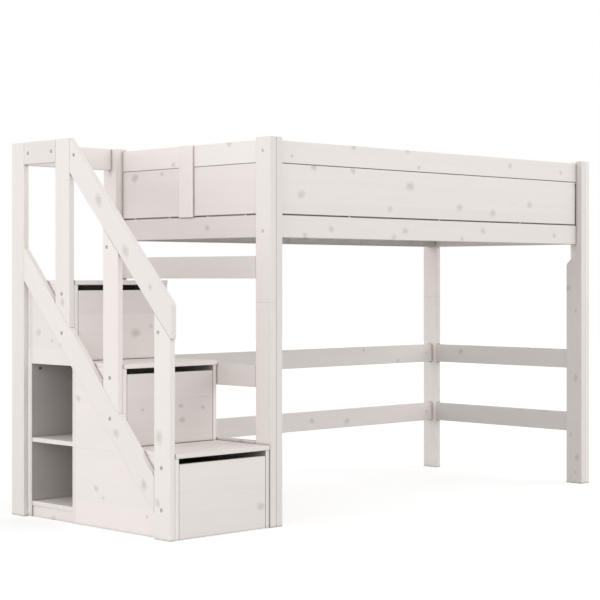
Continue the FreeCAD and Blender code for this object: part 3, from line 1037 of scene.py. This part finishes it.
@dataclass
class BedPosts(BoardGroup):
    """The four stacked corner posts and the notched boards inside the front ones.

    Attributes:
        corners: Each corner's name, its posts' painted shade (painted light below zero), and whether they are
            clear of knots.
    """

    corners: tuple[tuple[str, float, bool], ...] = (
        ("front_left", 0.04, True), ("front_right", -0.05, False),
        ("back_left", 0.0, False), ("back_right", 0.04, True))
    # Painted shade of the inner boards, and a deeper painted shade on the right one's side that faces the
    # bed's inside.
    left_inner_shade: float = 0.03
    right_inner_shade: float = 0.04
    right_inner_side_shade: float = 0.25
    right_inner_knots: tuple[Knot, ...] = end_knots(
        1.223, (-0.432, 0.922, 0.011), (-0.475, 0.813, 0.006), (-0.475, 0.497, 0.011),
        (-0.449, 0.229, 0.007), (-0.484, 0.124, 0.010), (-0.475, 0.053, 0.005))

    def boards(self) -> list[Board]:
        """List the post pieces, with upright grain."""
        posts = [Board(f"{corner}_post_{half}", Grain.HEIGHT, shade=shade, clear=clear)
                 for corner, shade, clear in self.corners for half in ("lower", "upper")]
        left = Board("front_left_inner_board", Grain.HEIGHT, shade=self.left_inner_shade)
        right = Board("front_right_inner_board", Grain.HEIGHT, self.right_inner_knots, self.right_inner_shade,
                      low_side=(0, self.right_inner_side_shade))
        return [*posts, left, right]


@dataclass
class LongSides(BoardGroup):
    """Rails and wide panels of the front and the back."""

    # Painted shade of the front's bottom rail.
    bottom_shade: float = 0.02
    top_knots: tuple[Knot, ...] = side_knots(
        -0.479, (-0.289, 1.505, 0.010), (0.039, 1.506, 0.008), (0.728, 1.476, 0.009),
        (0.110, 1.440, 0.008), (-0.640, 1.452, 0.006), (1.105, 1.462, 0.007))
    panel_knots: tuple[Knot, ...] = side_knots(
        -0.479, (-0.591, 1.301, 0.014), (-0.519, 1.412, 0.011), (-0.293, 1.408, 0.011),
        (-0.070, 1.258, 0.010), (0.054, 1.359, 0.016), (0.377, 1.278, 0.014),
        (0.603, 1.260, 0.013), (0.869, 1.304, 0.012))
    bottom_knots: tuple[Knot, ...] = side_knots(
        -0.479, (-0.421, 1.167, 0.010), (-0.568, 1.139, 0.010), (0.023, 1.168, 0.012),
        (-0.047, 1.142, 0.010), (0.537, 1.178, 0.013), (0.394, 1.141, 0.008), (1.053, 1.167, 0.010))

    def boards(self) -> list[Board]:
        """List the front's boards and then the back's, with grain along the bed."""
        return [Board("front_top_rail", Grain.LENGTH, self.top_knots),
                Board("front_panel", Grain.LENGTH, self.panel_knots, finish=GUARD_PINE),
                Board("front_bottom_rail", Grain.LENGTH, self.bottom_knots, self.bottom_shade),
                Board("back_top_rail", Grain.LENGTH),
                Board("back_panel", Grain.LENGTH, finish=GUARD_PINE),
                Board("back_bottom_rail", Grain.LENGTH)]


@dataclass
class BedEnds(BoardGroup):
    """Rails, panels and middle stile of the bed's two ends, with known knots in the left one."""

    # Painted shade of the ends' panels and bottom rails.
    panel_shade: float = 0.07
    bottom_shade: float = 0.13
    panel_knots: tuple[Knot, ...] = end_knots(-0.777, (0.339, 1.392, 0.015), (0.161, 1.403, 0.007))
    rail_knots: tuple[Knot, ...] = end_knots(-0.777, (0.086, 1.436, 0.010), (-0.259, 1.505, 0.011))
    bottom_knots: tuple[Knot, ...] = end_knots(-0.777, (-0.126, 1.172, 0.011))

    def boards(self) -> list[Board]:
        """List both ends' boards, with upright grain only in the stiles."""
        boards = []
        for end in ("left", "right"):
            clear = end == "left"
            boards += [Board(f"{end}_end_top_rails", Grain.DEPTH, self.rail_knots),
                       Board(f"{end}_end_panels", Grain.DEPTH, self.panel_knots, self.panel_shade, clear,
                             finish=GUARD_PINE),
                       Board(f"{end}_end_stile", Grain.HEIGHT, clear=clear),
                       Board(f"{end}_end_bottom_rail", Grain.DEPTH, self.bottom_knots, self.bottom_shade)]
        return boards


@dataclass
class LowerRails(BoardGroup):
    """Rails below the bed at both ends and at the back, and the ledgers under the slats."""

    # Painted shade of the lower rails and of the ledgers under the slats.
    left_shade: float = 0.15
    right_shade: float = 0.25
    back_shade: float = 0.03
    ledger_shade: float = 0.42
    left_knots: tuple[Knot, ...] = end_knots(-0.785, (-0.338, 0.325, 0.011))
    right_knots: tuple[Knot, ...] = end_knots(1.240, (0.260, 0.598, 0.011))
    back_knots: tuple[Knot, ...] = side_knots(
        0.451, (0.389, 0.287, 0.012), (0.628, 0.273, 0.012), (0.746, 0.616, 0.007), (0.996, 0.556, 0.007))

    def boards(self) -> list[Board]:
        """List the rails and ledgers."""
        return [Board("left_lower_rails", Grain.DEPTH, self.left_knots, self.left_shade, clear=True),
                Board("right_lower_rails", Grain.DEPTH, self.right_knots, self.right_shade, clear=True),
                Board("back_lower_rails", Grain.LENGTH, self.back_knots, self.back_shade),
                Board("slat_ledgers", Grain.LENGTH, shade=self.ledger_shade)]


@dataclass
class StairFrame(BoardGroup):
    """Posts, balusters, handrail and stringer of the flat frame beside the stairs."""

    # Painted shade of some frame boards; a negative one is painted light.
    rear_post_shade: float = 0.045
    short_rail_shade: float = 0.08
    upper_baluster_shade: float = 0.035
    lower_baluster_shade: float = -0.045
    newel_shade: float = -0.055
    stringer_shade: float = -0.02
    baluster_knots: tuple[Knot, ...] = end_knots(-1.285, (0.159, 0.873, 0.012))
    newel_knots: tuple[Knot, ...] = end_knots(-1.285, (-0.439, 0.381, 0.016), (-0.430, 0.136, 0.012))
    handrail_knots: tuple[Knot, ...] = end_knots(
        -1.285, (-0.073, 1.270, 0.017), (-0.239, 1.072, 0.016), (-0.387, 0.936, 0.008))
    stringer_knots: tuple[Knot, ...] = end_knots(
        -1.285, (-0.181, 0.378, 0.013), (-0.351, 0.196, 0.013), (0.176, 0.704, 0.007))

    def boards(self) -> list[Board]:
        """List the frame's boards, each with its grain along its length."""
        return [Board("stair_rear_post", Grain.HEIGHT, shade=self.rear_post_shade, clear=True),
                Board("stair_inner_post", Grain.HEIGHT),
                Board("stair_short_rail", Grain.DEPTH, shade=self.short_rail_shade, clear=True),
                Board("stair_guard_rail", Grain.LENGTH),
                Board("stair_upper_baluster", Grain.HEIGHT, self.baluster_knots, self.upper_baluster_shade),
                Board("stair_lower_baluster", Grain.HEIGHT, shade=self.lower_baluster_shade, clear=True),
                Board("stair_newel", Grain.HEIGHT, self.newel_knots, self.newel_shade),
                Board("stair_handrail", Grain.SLOPE, self.handrail_knots),
                Board("stair_stringer", Grain.SLOPE, self.stringer_knots, self.stringer_shade)]


@dataclass
class Carcass(BoardGroup):
    """Glued panels of the storage steps and the bookcase in them, with painted shade on their inner sides."""

    # Painted light on the outer panels, and painted shade on the inner faces of the side and back panels.
    outer_shade: float = -0.05
    inside_shade: float = 0.50
    back_shade: float = 0.41
    outer_knots: tuple[Knot, ...] = end_knots(
        -1.261, (-0.025, 0.152, 0.010), (-0.070, 0.119, 0.006), (-0.338, 0.073, 0.006), (0.088, 0.496, 0.011))
    face_knots: tuple[Knot, ...] = end_knots(-1.261, (0.354, 0.749, 0.011), (0.263, 0.717, 0.006))
    back_knots: tuple[Knot, ...] = side_knots(0.402, (-1.219, 0.601, 0.007))

    def boards(self) -> list[Board]:
        """List the panels."""
        panel = partial(Board, finish=PANEL_PINE, slot="carcass_pine")
        inside = partial(Board, finish=SHADED_INSIDE_PINE, slot="carcass_pine")
        return [panel("inner_side_panels", Grain.DEPTH, low_side=(0, self.inside_shade)),
                panel("outer_side_panels", Grain.DEPTH, self.outer_knots, self.outer_shade),
                panel("stair_back_panel", Grain.LENGTH, self.back_knots, low_side=(1, self.back_shade),
                      finish=BACK_PINE),
                panel("stair_treads", Grain.LENGTH),
                inside("drawer_floors", Grain.LENGTH),
                panel("bookcase_face", Grain.DEPTH, self.face_knots),
                inside("bookcase_divider", Grain.LENGTH),
                panel("bookcase_shelf", Grain.LENGTH),
                panel("bookcase_bottom", Grain.LENGTH),
                panel("bookcase_plinth", Grain.DEPTH)]


@dataclass
class Drawer(BoardGroup):
    """One sliding drawer of the steps, on a body of its own."""

    body: str
    knots: tuple[Knot, ...]
    # Painted shade of the drawer's front.
    shade: float = 0.0

    def boards(self) -> list[Board]:
        """List the front and the box."""
        return [Board(f"{self.body}_front", Grain.LENGTH, self.knots, self.shade, finish=PANEL_PINE,
                      slot="carcass_pine", body=self.body),
                Board(f"{self.body}_box", Grain.DEPTH, finish=BOX_PINE, slot="drawer_pine", body=self.body)]


# Drawers 2 and 3 carry painted shade on their fronts.
DRAWERS = (
    Drawer("drawer_1", side_knots(-0.503, (-0.831, 0.087, 0.013))),
    Drawer("drawer_2", side_knots(-0.194, (-0.964, 0.412, 0.010), (-0.858, 0.454, 0.007),
                                  (-0.973, 0.467, 0.008), (-1.165, 0.461, 0.006)), shade=0.13),
    Drawer("drawer_3", side_knots(0.115, (-0.953, 0.745, 0.016), (-0.872, 0.772, 0.007)), shade=0.06))


class PieceTree(Wiring):
    """A Geometry Nodes tree with named inputs that makes a finished piece."""

    def __init__(self, name: str, wants: dict[str, str]) -> None:
        """Start a tree that takes and gives geometry.

        Args:
            name: The tree's name.
            wants: The kind of each named input.
        """
        super().__init__(bpy.data.node_groups.new(name, "GeometryNodeTree"))
        sockets = self.tree.interface
        for way in ("INPUT", "OUTPUT"):
            sockets.new_socket("Geometry", in_out=way, socket_type="NodeSocketGeometry")
        self.identifiers = {
            label: sockets.new_socket(label, in_out="INPUT", socket_type=f"NodeSocket{kind}").identifier
            for label, kind in wants.items()}
        self.given = self.add("NodeGroupInput")

    def input(self, label: str) -> Value:
        """Give what comes in at a named input."""
        return Value(self, self.given.outputs[label])

    def store(self, geometry: Value, name: str, value: Any, domain: str, kind: str = "FLOAT_VECTOR") -> Value:
        """Write a named attribute on a geometry.

        Args:
            geometry: The geometry.
            name: The attribute's name.
            value: Its value.
            domain: What carries it, points or instances.
            kind: Its data type.

        Returns:
            The geometry with the attribute.
        """
        feeds = {"Geometry": geometry, "Name": name, "Value": value}
        return self.get("GeometryNodeStoreNamedAttribute", "Geometry", feeds, data_type=kind, domain=domain)

    def end(self, instances: Value) -> None:
        """Make the repeated shapes real, and give them the finish."""
        real = self.get("GeometryNodeRealizeInstances", "Geometry", {"Geometry": instances})
        feeds = {"Geometry": real, "Material": self.input("Finish")}
        self.add("NodeGroupOutput", {"Geometry": self.get("GeometryNodeSetMaterial", "Geometry", feeds)})

    def apply(self, mesh: bpy.types.Mesh, name: str, values: dict[str, Any]) -> bpy.types.Object:
        """Run the tree on a mesh.

        Args:
            mesh: The mesh that it starts from.
            name: The finished piece's name.
            values: The inputs by their labels.

        Returns:
            The finished piece as a plain mesh.
        """
        thing = link(mesh, f"{name}_draft")
        modifier = thing.modifiers.new(name, "NODES")
        modifier.node_group = self.tree
        for label, value in values.items():
            modifier[self.identifiers[label]] = value
        return plain_mesh(thing, name)


def fastener_tree() -> PieceTree:
    """Make the tree that sets one fastener at every point of a row, turned to face as the point says.

    Returns:
        The tree.
    """
    tree = PieceTree("fastener_row", {"Fastener": "Object", "Finish": "Material"})
    shape = tree.get("GeometryNodeObjectInfo", "Geometry", {"Object": tree.input("Fastener")})
    facing = tree.get("GeometryNodeInputNamedAttribute", "Attribute", {"Name": "facing"},
                      data_type="FLOAT_VECTOR")
    turn = tree.get("FunctionNodeAlignRotationToVector", "Rotation", {"Vector": facing}, axis="Z")
    feeds = {"Points": tree.input("Geometry"), "Instance": shape, "Rotation": turn}
    tree.end(tree.get("GeometryNodeInstanceOnPoints", "Instances", feeds))
    return tree


def ring(radius: float, height: float, sides: int, flute: float = 0.0) -> list[Point]:
    """Set out a circle round the Z axis, or its middle alone where the radius is zero.

    Args:
        radius: The circle's radius.
        height: Its height.
        sides: Number of points.
        flute: How much farther in every other point lies.

    Returns:
        The points.
    """
    if radius == 0.0:
        return [(0.0, 0.0, height)]
    points = []
    for side in range(sides):
        angle = 2 * math.pi * side / sides
        reach = radius - (flute if side % 2 else 0.0)
        points.append((reach * math.cos(angle), reach * math.sin(angle), height))
    return points


def hexagon(corner: float, height: float, sides: int) -> list[Point]:
    """Set out a hexagon round the Z axis.

    Args:
        corner: Distance from its middle to a corner.
        height: Its height.
        sides: Number of points, six of which are the corners.

    Returns:
        The points.
    """
    points = []
    for side in range(sides):
        number, part = divmod(side, sides // 6)
        start = Vector((math.cos(math.pi / 3 * number), math.sin(math.pi / 3 * number)))
        end = Vector((math.cos(math.pi / 3 * (number + 1)), math.sin(math.pi / 3 * (number + 1))))
        x, y = start.lerp(end, part / (sides // 6)) * corner
        points.append((x, y, height))
    return points


def skin(rows: Sequence[Sequence[Point]], name: str) -> bpy.types.Mesh:
    """Close a surface over rings that follow one another.

    Args:
        rows: The rings' points; a ring of one point is a tip.
        name: The mesh's name.

    Returns:
        The closed mesh.
    """
    bm = bmesh.new()
    rings = [[bm.verts.new(point) for point in row] for row in rows]
    for first, second in zip(rings, rings[1:]):
        sides = max(len(first), len(second))
        for side in range(sides):
            after = (side + 1) % sides
            corners = [first[side % len(first)], second[side % len(second)],
                       second[after % len(second)], first[after % len(first)]]
            bm.faces.new(list(dict.fromkeys(corners)))
    for end in (rings[0], rings[-1]):
        if len(end) > 1:
            bm.faces.new(end)
    bmesh.ops.recalc_face_normals(bm, faces=bm.faces)
    mesh = bpy.data.meshes.new(name)
    bm.to_mesh(mesh)
    bm.free()
    return mesh


@dataclass
class FastenerRow:
    """Fasteners of one kind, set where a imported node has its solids."""

    node: str
    facing: Facing
    finish: Finish
    slot: str

    def places(self, boxes: Sequence[Box]) -> list[tuple[Vector, Vector]]:
        """Find each fastener's outer end.

        Args:
            boxes: The boxes of the solids.

        Returns:
            The middle of each end, and the way that it faces.
        """
        rail_start, rail_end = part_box("front_top_rail")
        bed_middle = (rail_start.x + rail_end.x) / 2
        places = []
        for low, high in boxes:
            centre = (low + high) / 2
            ways = {Facing.OUT_OF_ENDS: (-1 if centre.x < bed_middle else 1, 0, 0),
                    Facing.INTO_BED: (0, 1 if centre.y < 0 else -1, 0),
                    Facing.OPEN_SIDE: (-1, 0, 0),
                    Facing.UPWARDS: (0, 0, 1)}
            outward = Vector(ways[self.facing])
            places.append((centre + outward * abs((high - centre).dot(outward)), outward))
        return places

    def build(self, tree: PieceTree, shape: bpy.types.Mesh, boxes: Sequence[Box], name: str) -> None:
        """Set the shape at every place.

        Args:
            tree: The tree for rows of fasteners.
            shape: One fastener, with its outer end at the origin and facing up.
            boxes: The boxes of the solids.
            name: The start of the piece's name.
        """
        places = self.places(boxes)
        mesh = bpy.data.meshes.new(f"{name}_places")
        mesh.from_pydata([point for point, _ in places], [], [])
        facing = mesh.attributes.new("facing", "FLOAT_VECTOR", "POINT")
        facing.data.foreach_set("vector", np.array([way for _, way in places], np.float32).ravel())
        pattern = link(shape, f"{name}_pattern")
        piece = tree.apply(mesh, f"{name}_set", {"Fastener": pattern, "Finish": self.finish.material()})
        bpy.data.objects.remove(pattern)
        declare(piece, self.node)


@dataclass
class Hardware:
    """Bolts, barrel nuts, studs and dowels of the whole bed.

    Attributes:
        socket: Width and depth of a bolt's socket, as shares of its head's.
        dish: Depth of a nut's dished end in its middle and near its edge.
        dish_width: Radii of the dish's floor and its edge, as shares of the nut's.
    """

    bed_head: float = 0.007
    bed_head_depth: float = 0.005
    bed_shank: float = 0.004
    bed_length: float = 0.091
    stair_head: float = 0.008
    stair_head_depth: float = 0.004
    stair_shank: float = 0.003
    stair_length: float = 0.036
    socket: tuple[float, float] = (0.40, 0.40)
    bolt_sides: int = 24
    bed_nut: float = 0.005
    stair_nut: float = 0.0075
    nut_length: float = 0.020
    dish: tuple[float, float] = (0.0022, 0.0018)
    dish_width: tuple[float, float] = (0.34, 0.44)
    nut_sides: int = 20
    dowel: float = 0.005
    dowel_flute: float = 0.0003
    dowel_sides: int = 24
    dowel_bevel: float = 0.0012
    bevel: float = 0.0006

    def build(self) -> None:
        """Make every row of fasteners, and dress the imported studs."""
        tree = fastener_tree()
        bed_bolt = self.bolt(self.bed_head, self.bed_head_depth, self.bed_shank, self.bed_length)
        stair_bolt = self.bolt(self.stair_head, self.stair_head_depth, self.stair_shank, self.stair_length)
        rows = (("bed_bolts", Facing.OUT_OF_ENDS, BRIGHT_STEEL, bed_bolt),
                ("stair_bolts", Facing.OPEN_SIDE, DULL_STEEL, stair_bolt),
                ("bed_barrel_nuts", Facing.INTO_BED, BRIGHT_STEEL, self.barrel_nut(self.bed_nut)),
                ("stair_barrel_nuts", Facing.OPEN_SIDE, DULL_STEEL, self.barrel_nut(self.stair_nut)))
        for node, facing, finish, shape in rows:
            FastenerRow(node, facing, finish, "fastener_steel").build(tree, shape, solid_boxes(node), node)
        self.dowels(tree)
        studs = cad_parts["stair_studs"].data.materials
        studs.clear()
        studs.append(DULL_STEEL.material())

    def bolt(self, head: float, head_depth: float, shank: float, length: float) -> bpy.types.Mesh:
        """Shape a bolt with a hexagon socket in its head.

        Args:
            head: The head's radius.
            head_depth: The head's depth.
            shank: The shank's radius.
            length: The bolt's whole length.

        Returns:
            The bolt's mesh, with the head's face at height zero.
        """
        socket = [hexagon(head * self.socket[0], height, self.bolt_sides)
                  for height in (-head_depth * self.socket[1], 0.0)]
        profile = ((head - self.bevel, 0.0), (head, -self.bevel), (head, -head_depth), (shank, -head_depth),
                   (shank, -length + self.bevel), (shank - self.bevel, -length))
        body = [ring(radius, height, self.bolt_sides) for radius, height in profile]
        return skin(socket + body, "socket_bolt")

    def barrel_nut(self, radius: float) -> bpy.types.Mesh:
        """Shape a barrel nut with a dished end.

        Args:
            radius: The nut's radius.

        Returns:
            The nut's mesh.
        """
        profile = ((0.0, -self.dish[0]), (radius * self.dish_width[0], -self.dish[1]),
                   (radius * self.dish_width[1], 0.0), (radius - self.bevel, 0.0), (radius, -self.bevel),
                   (radius, -self.nut_length + self.bevel), (radius - self.bevel, -self.nut_length),
                   (0.0, -self.nut_length))
        return skin([ring(*point, self.nut_sides) for point in profile], "barrel_nut")

    def dowels(self, tree: PieceTree) -> None:
        """Make the fluted dowels, one row for each length.

        Args:
            tree: The tree for rows of fasteners.
        """
        row = FastenerRow("wooden_dowels", Facing.UPWARDS, BEECH, "dowel_wood")
        lengths: dict[float, list[Box]] = {}
        for box in solid_boxes(row.node):
            lengths.setdefault(round(box[1].z - box[0].z, 4), []).append(box)
        end = self.dowel - self.dowel_bevel
        for number, length in enumerate(sorted(lengths)):
            profile = ((0.0, 0.0), (end, 0.0), (self.dowel, -self.dowel_bevel),
                       (self.dowel, -length + self.dowel_bevel), (end, -length), (0.0, -length))
            rows = [ring(*point, self.dowel_sides, self.dowel_flute) for point in profile]
            row.build(tree, skin(rows, "fluted_dowel"), lengths[length], f"{row.node}_{number}")


@dataclass
class SlattedBase:
    """Row of rounded slats across the bed.

    Attributes:
        edge: Radius of a slat's long edges.
        edge_steps: Number of steps in that rounding.
        seed: Seed of the slats' own grain.
        knots: Number of knots in each slat.
        knot_low: Least place along and across a slat, and radius, of a knot.
        knot_high: Greatest place along and across it, and radius.
    """

    edge: float = 0.004
    edge_steps: int = 3
    seed: int = 11
    knots: int = 2
    knot_low: Point = (-0.42, -0.03, 0.005)
    knot_high: Point = (0.42, 0.03, 0.010)

    def build(self) -> None:
        """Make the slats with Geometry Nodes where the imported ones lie."""
        boxes = sorted(solid_boxes("slats"), key=lambda pair: pair[0].x)
        low, high = boxes[0]
        mesh = bpy.data.meshes.new("slat_start")
        mesh.from_pydata([(0.0, 0.0, 0.0)], [], [])
        values = {"Count": len(boxes), "First": (low + high) / 2, "Pitch": (boxes[1][0].x - low.x, 0.0, 0.0),
                  "Size": high - low, "Edge": self.edge, "Seed": self.seed, "Finish": SLAT_PINE.material()}
        declare(self.tree().apply(mesh, "slat_row", values), "slats")

    def tree(self) -> PieceTree:
        """Make the tree that draws one slat with rounded edges and repeats it along the bed.

        Returns:
            The tree.
        """
        tree = PieceTree("slat_row", {"Count": "Int", "First": "Vector", "Pitch": "Vector", "Size": "Vector",
                                      "Edge": "Float", "Seed": "Int", "Finish": "Material"})
        size = tree.input("Size")
        width, _, thick = tree.split(size)
        half_width, half_length, half_thick = tree.split(tree.vector("MULTIPLY", size, (0.5, 0.5, 0.5)))
        feeds = {"Width": width, "Height": thick}
        outline = tree.get("GeometryNodeCurvePrimitiveQuadrilateral", "Curve", feeds)
        feeds = {"Curve": outline, "Radius": tree.input("Edge"), "Count": self.edge_steps}
        rounded = tree.get("GeometryNodeFilletCurve", "Curve", feeds, mode="POLY")
        feeds = {"Start": tree.join(0.0, half_length * -1.0, 0.0), "End": tree.join(0.0, half_length, 0.0)}
        path = tree.get("GeometryNodeCurvePrimitiveLine", "Curve", feeds)
        feeds = {"Curve": path, "Profile Curve": rounded, "Fill Caps": True}
        slat = tree.get("GeometryNodeCurveToMesh", "Mesh", feeds)
        x, y, z = tree.split(tree.get("GeometryNodeInputPosition", "Position"))
        slat = tree.store(slat, "grain_place", tree.join(y, x, z), "POINT")
        slat = tree.store(slat, "board_half", tree.join(half_length, half_width, half_thick), "POINT")
        feeds = {"Count": tree.input("Count"), "Start Location": tree.input("First"),
                 "Offset": tree.input("Pitch")}
        row = tree.get("GeometryNodeMeshLine", "Mesh", feeds)
        slats = tree.get("GeometryNodeInstanceOnPoints", "Instances", {"Points": row, "Instance": slat})
        chance = tree.get("FunctionNodeRandomValue", "Value", {"Seed": tree.input("Seed")}, data_type="FLOAT")
        slats = tree.store(slats, "board_seed", chance, "INSTANCE", "FLOAT")
        for number in range(KNOTS_PER_BOARD):
            knot: Any = NO_KNOT
            if number < self.knots:
                feeds = {"Min": self.knot_low, "Max": self.knot_high, "Seed": number + 1}
                knot = tree.get("FunctionNodeRandomValue", "Value", feeds, data_type="FLOAT_VECTOR")
            slats = tree.store(slats, f"knot_{number}", knot, "INSTANCE")
        tree.end(slats)
        return tree


@dataclass
class Studio:
    """Pale floor, soft light and the photograph's camera.

    Attributes:
        floor_glow: How much brighter than its lit colour the floor looks to the camera.
        sun_spread: Width of the soft light in degrees.
        sky: Strength of the sky near the horizon.
        sky_dim: How much weaker it is overhead.
        sky_dim_heights: Heights between which it fades, from 0 at the horizon to 1 overhead.
        sky_left: Strength of the extra light from the left.
        sky_left_heights: Heights between which that light appears, from the top down.
    """

    floor_half: float = 14.0
    floor_colour: Colour = (0.60, 0.60, 0.60, 1.0)
    floor_glow: float = 0.52
    sun: float = 0.67
    sun_spread: float = 50.0
    sun_from: Point = (0.62, -0.62, 0.48)
    sun_distance: float = 6.0
    sky: float = 0.86
    sky_dim: float = 0.28
    sky_dim_heights: tuple[float, float] = (0.30, 1.00)
    sky_left: float = 1.30
    sky_left_heights: tuple[float, float] = (0.85, 0.20)
    camera_place: Point = (-5.24988, -5.26261, 0.96882)
    camera_turn: float = -44.33
    lens: float = 100.91
    film: float = 36.0
    shift: tuple[float, float] = (-0.00595, -0.0364)
    sight: float = 100.0

    def build(self) -> None:
        """Set up the studio."""
        self.floor()
        self.light()
        self.world()
        self.camera()
        bpy.context.scene.view_settings.view_transform = "Standard"

    @staticmethod
    def looked_at(wire: Wiring) -> Value:
        """Give 1 where something is seen, straight, in a mirror or through glass, and 0 where it lights."""
        rays = wire.add("ShaderNodeLightPath").outputs
        seen = wire.math("MAXIMUM", rays["Is Camera Ray"], rays["Is Glossy Ray"])
        return wire.math("MAXIMUM", seen, rays["Is Transmission Ray"])

    def floor(self) -> None:
        """Lay the floor, which looks white to the camera except in the shadow."""
        mesh = bpy.data.meshes.new("studio_floor")
        size = self.floor_half
        corners = [(-size, -size, 0.0), (size, -size, 0.0), (size, size, 0.0), (-size, size, 0.0)]
        mesh.from_pydata(corners, [], [(0, 1, 2, 3)])
        material = bpy.data.materials.new("studio_floor")
        material.use_nodes = True
        material.node_tree.nodes.clear()
        wire = Wiring(material.node_tree)
        matt = wire.get("ShaderNodeBsdfDiffuse", "BSDF", {"Color": self.floor_colour})
        glow = wire.get("ShaderNodeEmission", "Emission", {"Strength": self.floor_glow})
        both = wire.get("ShaderNodeAddShader", "Shader", {0: matt, 1: glow})
        pick = wire.get("ShaderNodeMixShader", "Shader", {"Fac": self.looked_at(wire), 1: matt, 2: both})
        wire.add("ShaderNodeOutputMaterial", {"Surface": pick})
        mesh.materials.append(material)
        link(mesh, "studio_floor")

    def light(self) -> None:
        """Add one broad soft light from the right of the camera."""
        lamp = bpy.data.lights.new("soft_key", "SUN")
        lamp.energy = self.sun
        lamp.angle = math.radians(self.sun_spread)
        thing = link(lamp, "soft_key")
        thing.location = Vector(self.sun_from) * self.sun_distance
        thing.rotation_euler = Vector(self.sun_from).to_track_quat("Z", "Y").to_euler()

    def world(self) -> None:
        """Make a white surround, brighter to the left, that the camera sees as plain white."""
        world = bpy.data.worlds.new("white_surround")
        world.use_nodes = True
        world.node_tree.nodes.clear()
        wire = Wiring(world.node_tree)
        seen = self.looked_at(wire)
        x, _, z = wire.split(wire.get("ShaderNodeTexCoord", "Generated"))
        leftward = wire.math("MAXIMUM", x * -self.sky_left, 0.0) * wire.fade(z, *self.sky_left_heights)
        lit = leftward + wire.fade(z, *self.sky_dim_heights, self.sky, self.sky - self.sky_dim)
        feeds = {"Color": (1.0, 1.0, 1.0, 1.0), "Strength": lit * (1.0 - seen) + seen}
        wire.add("ShaderNodeOutputWorld", {"Surface": wire.get("ShaderNodeBackground", "Background", feeds)})
        bpy.context.scene.world = world

    def camera(self) -> None:
        """Place the camera where the photograph was taken from."""
        data = bpy.data.cameras.new("portrait_camera")
        data.lens = self.lens
        data.sensor_width = self.film
        data.shift_x, data.shift_y = self.shift
        data.clip_end = self.sight
        thing = link(data, "portrait_camera")
        thing.location = self.camera_place
        thing.rotation_euler = (math.radians(90.0), 0.0, math.radians(self.camera_turn))
        bpy.context.scene.camera = thing


def main() -> None:
    """Build and dress the bed."""
    logging.basicConfig(level=logging.INFO, format="%(message)s")
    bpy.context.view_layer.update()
    maker = BoardMaker(random.Random(GRAIN_SEED))
    for part in (BedPosts(), LongSides(), BedEnds(), LowerRails(), StairFrame(), Carcass(), *DRAWERS):
        part.build(maker)
    SlattedBase().build()
    Hardware().build()
    Studio().build()


if __name__ == "__main__":
    main()
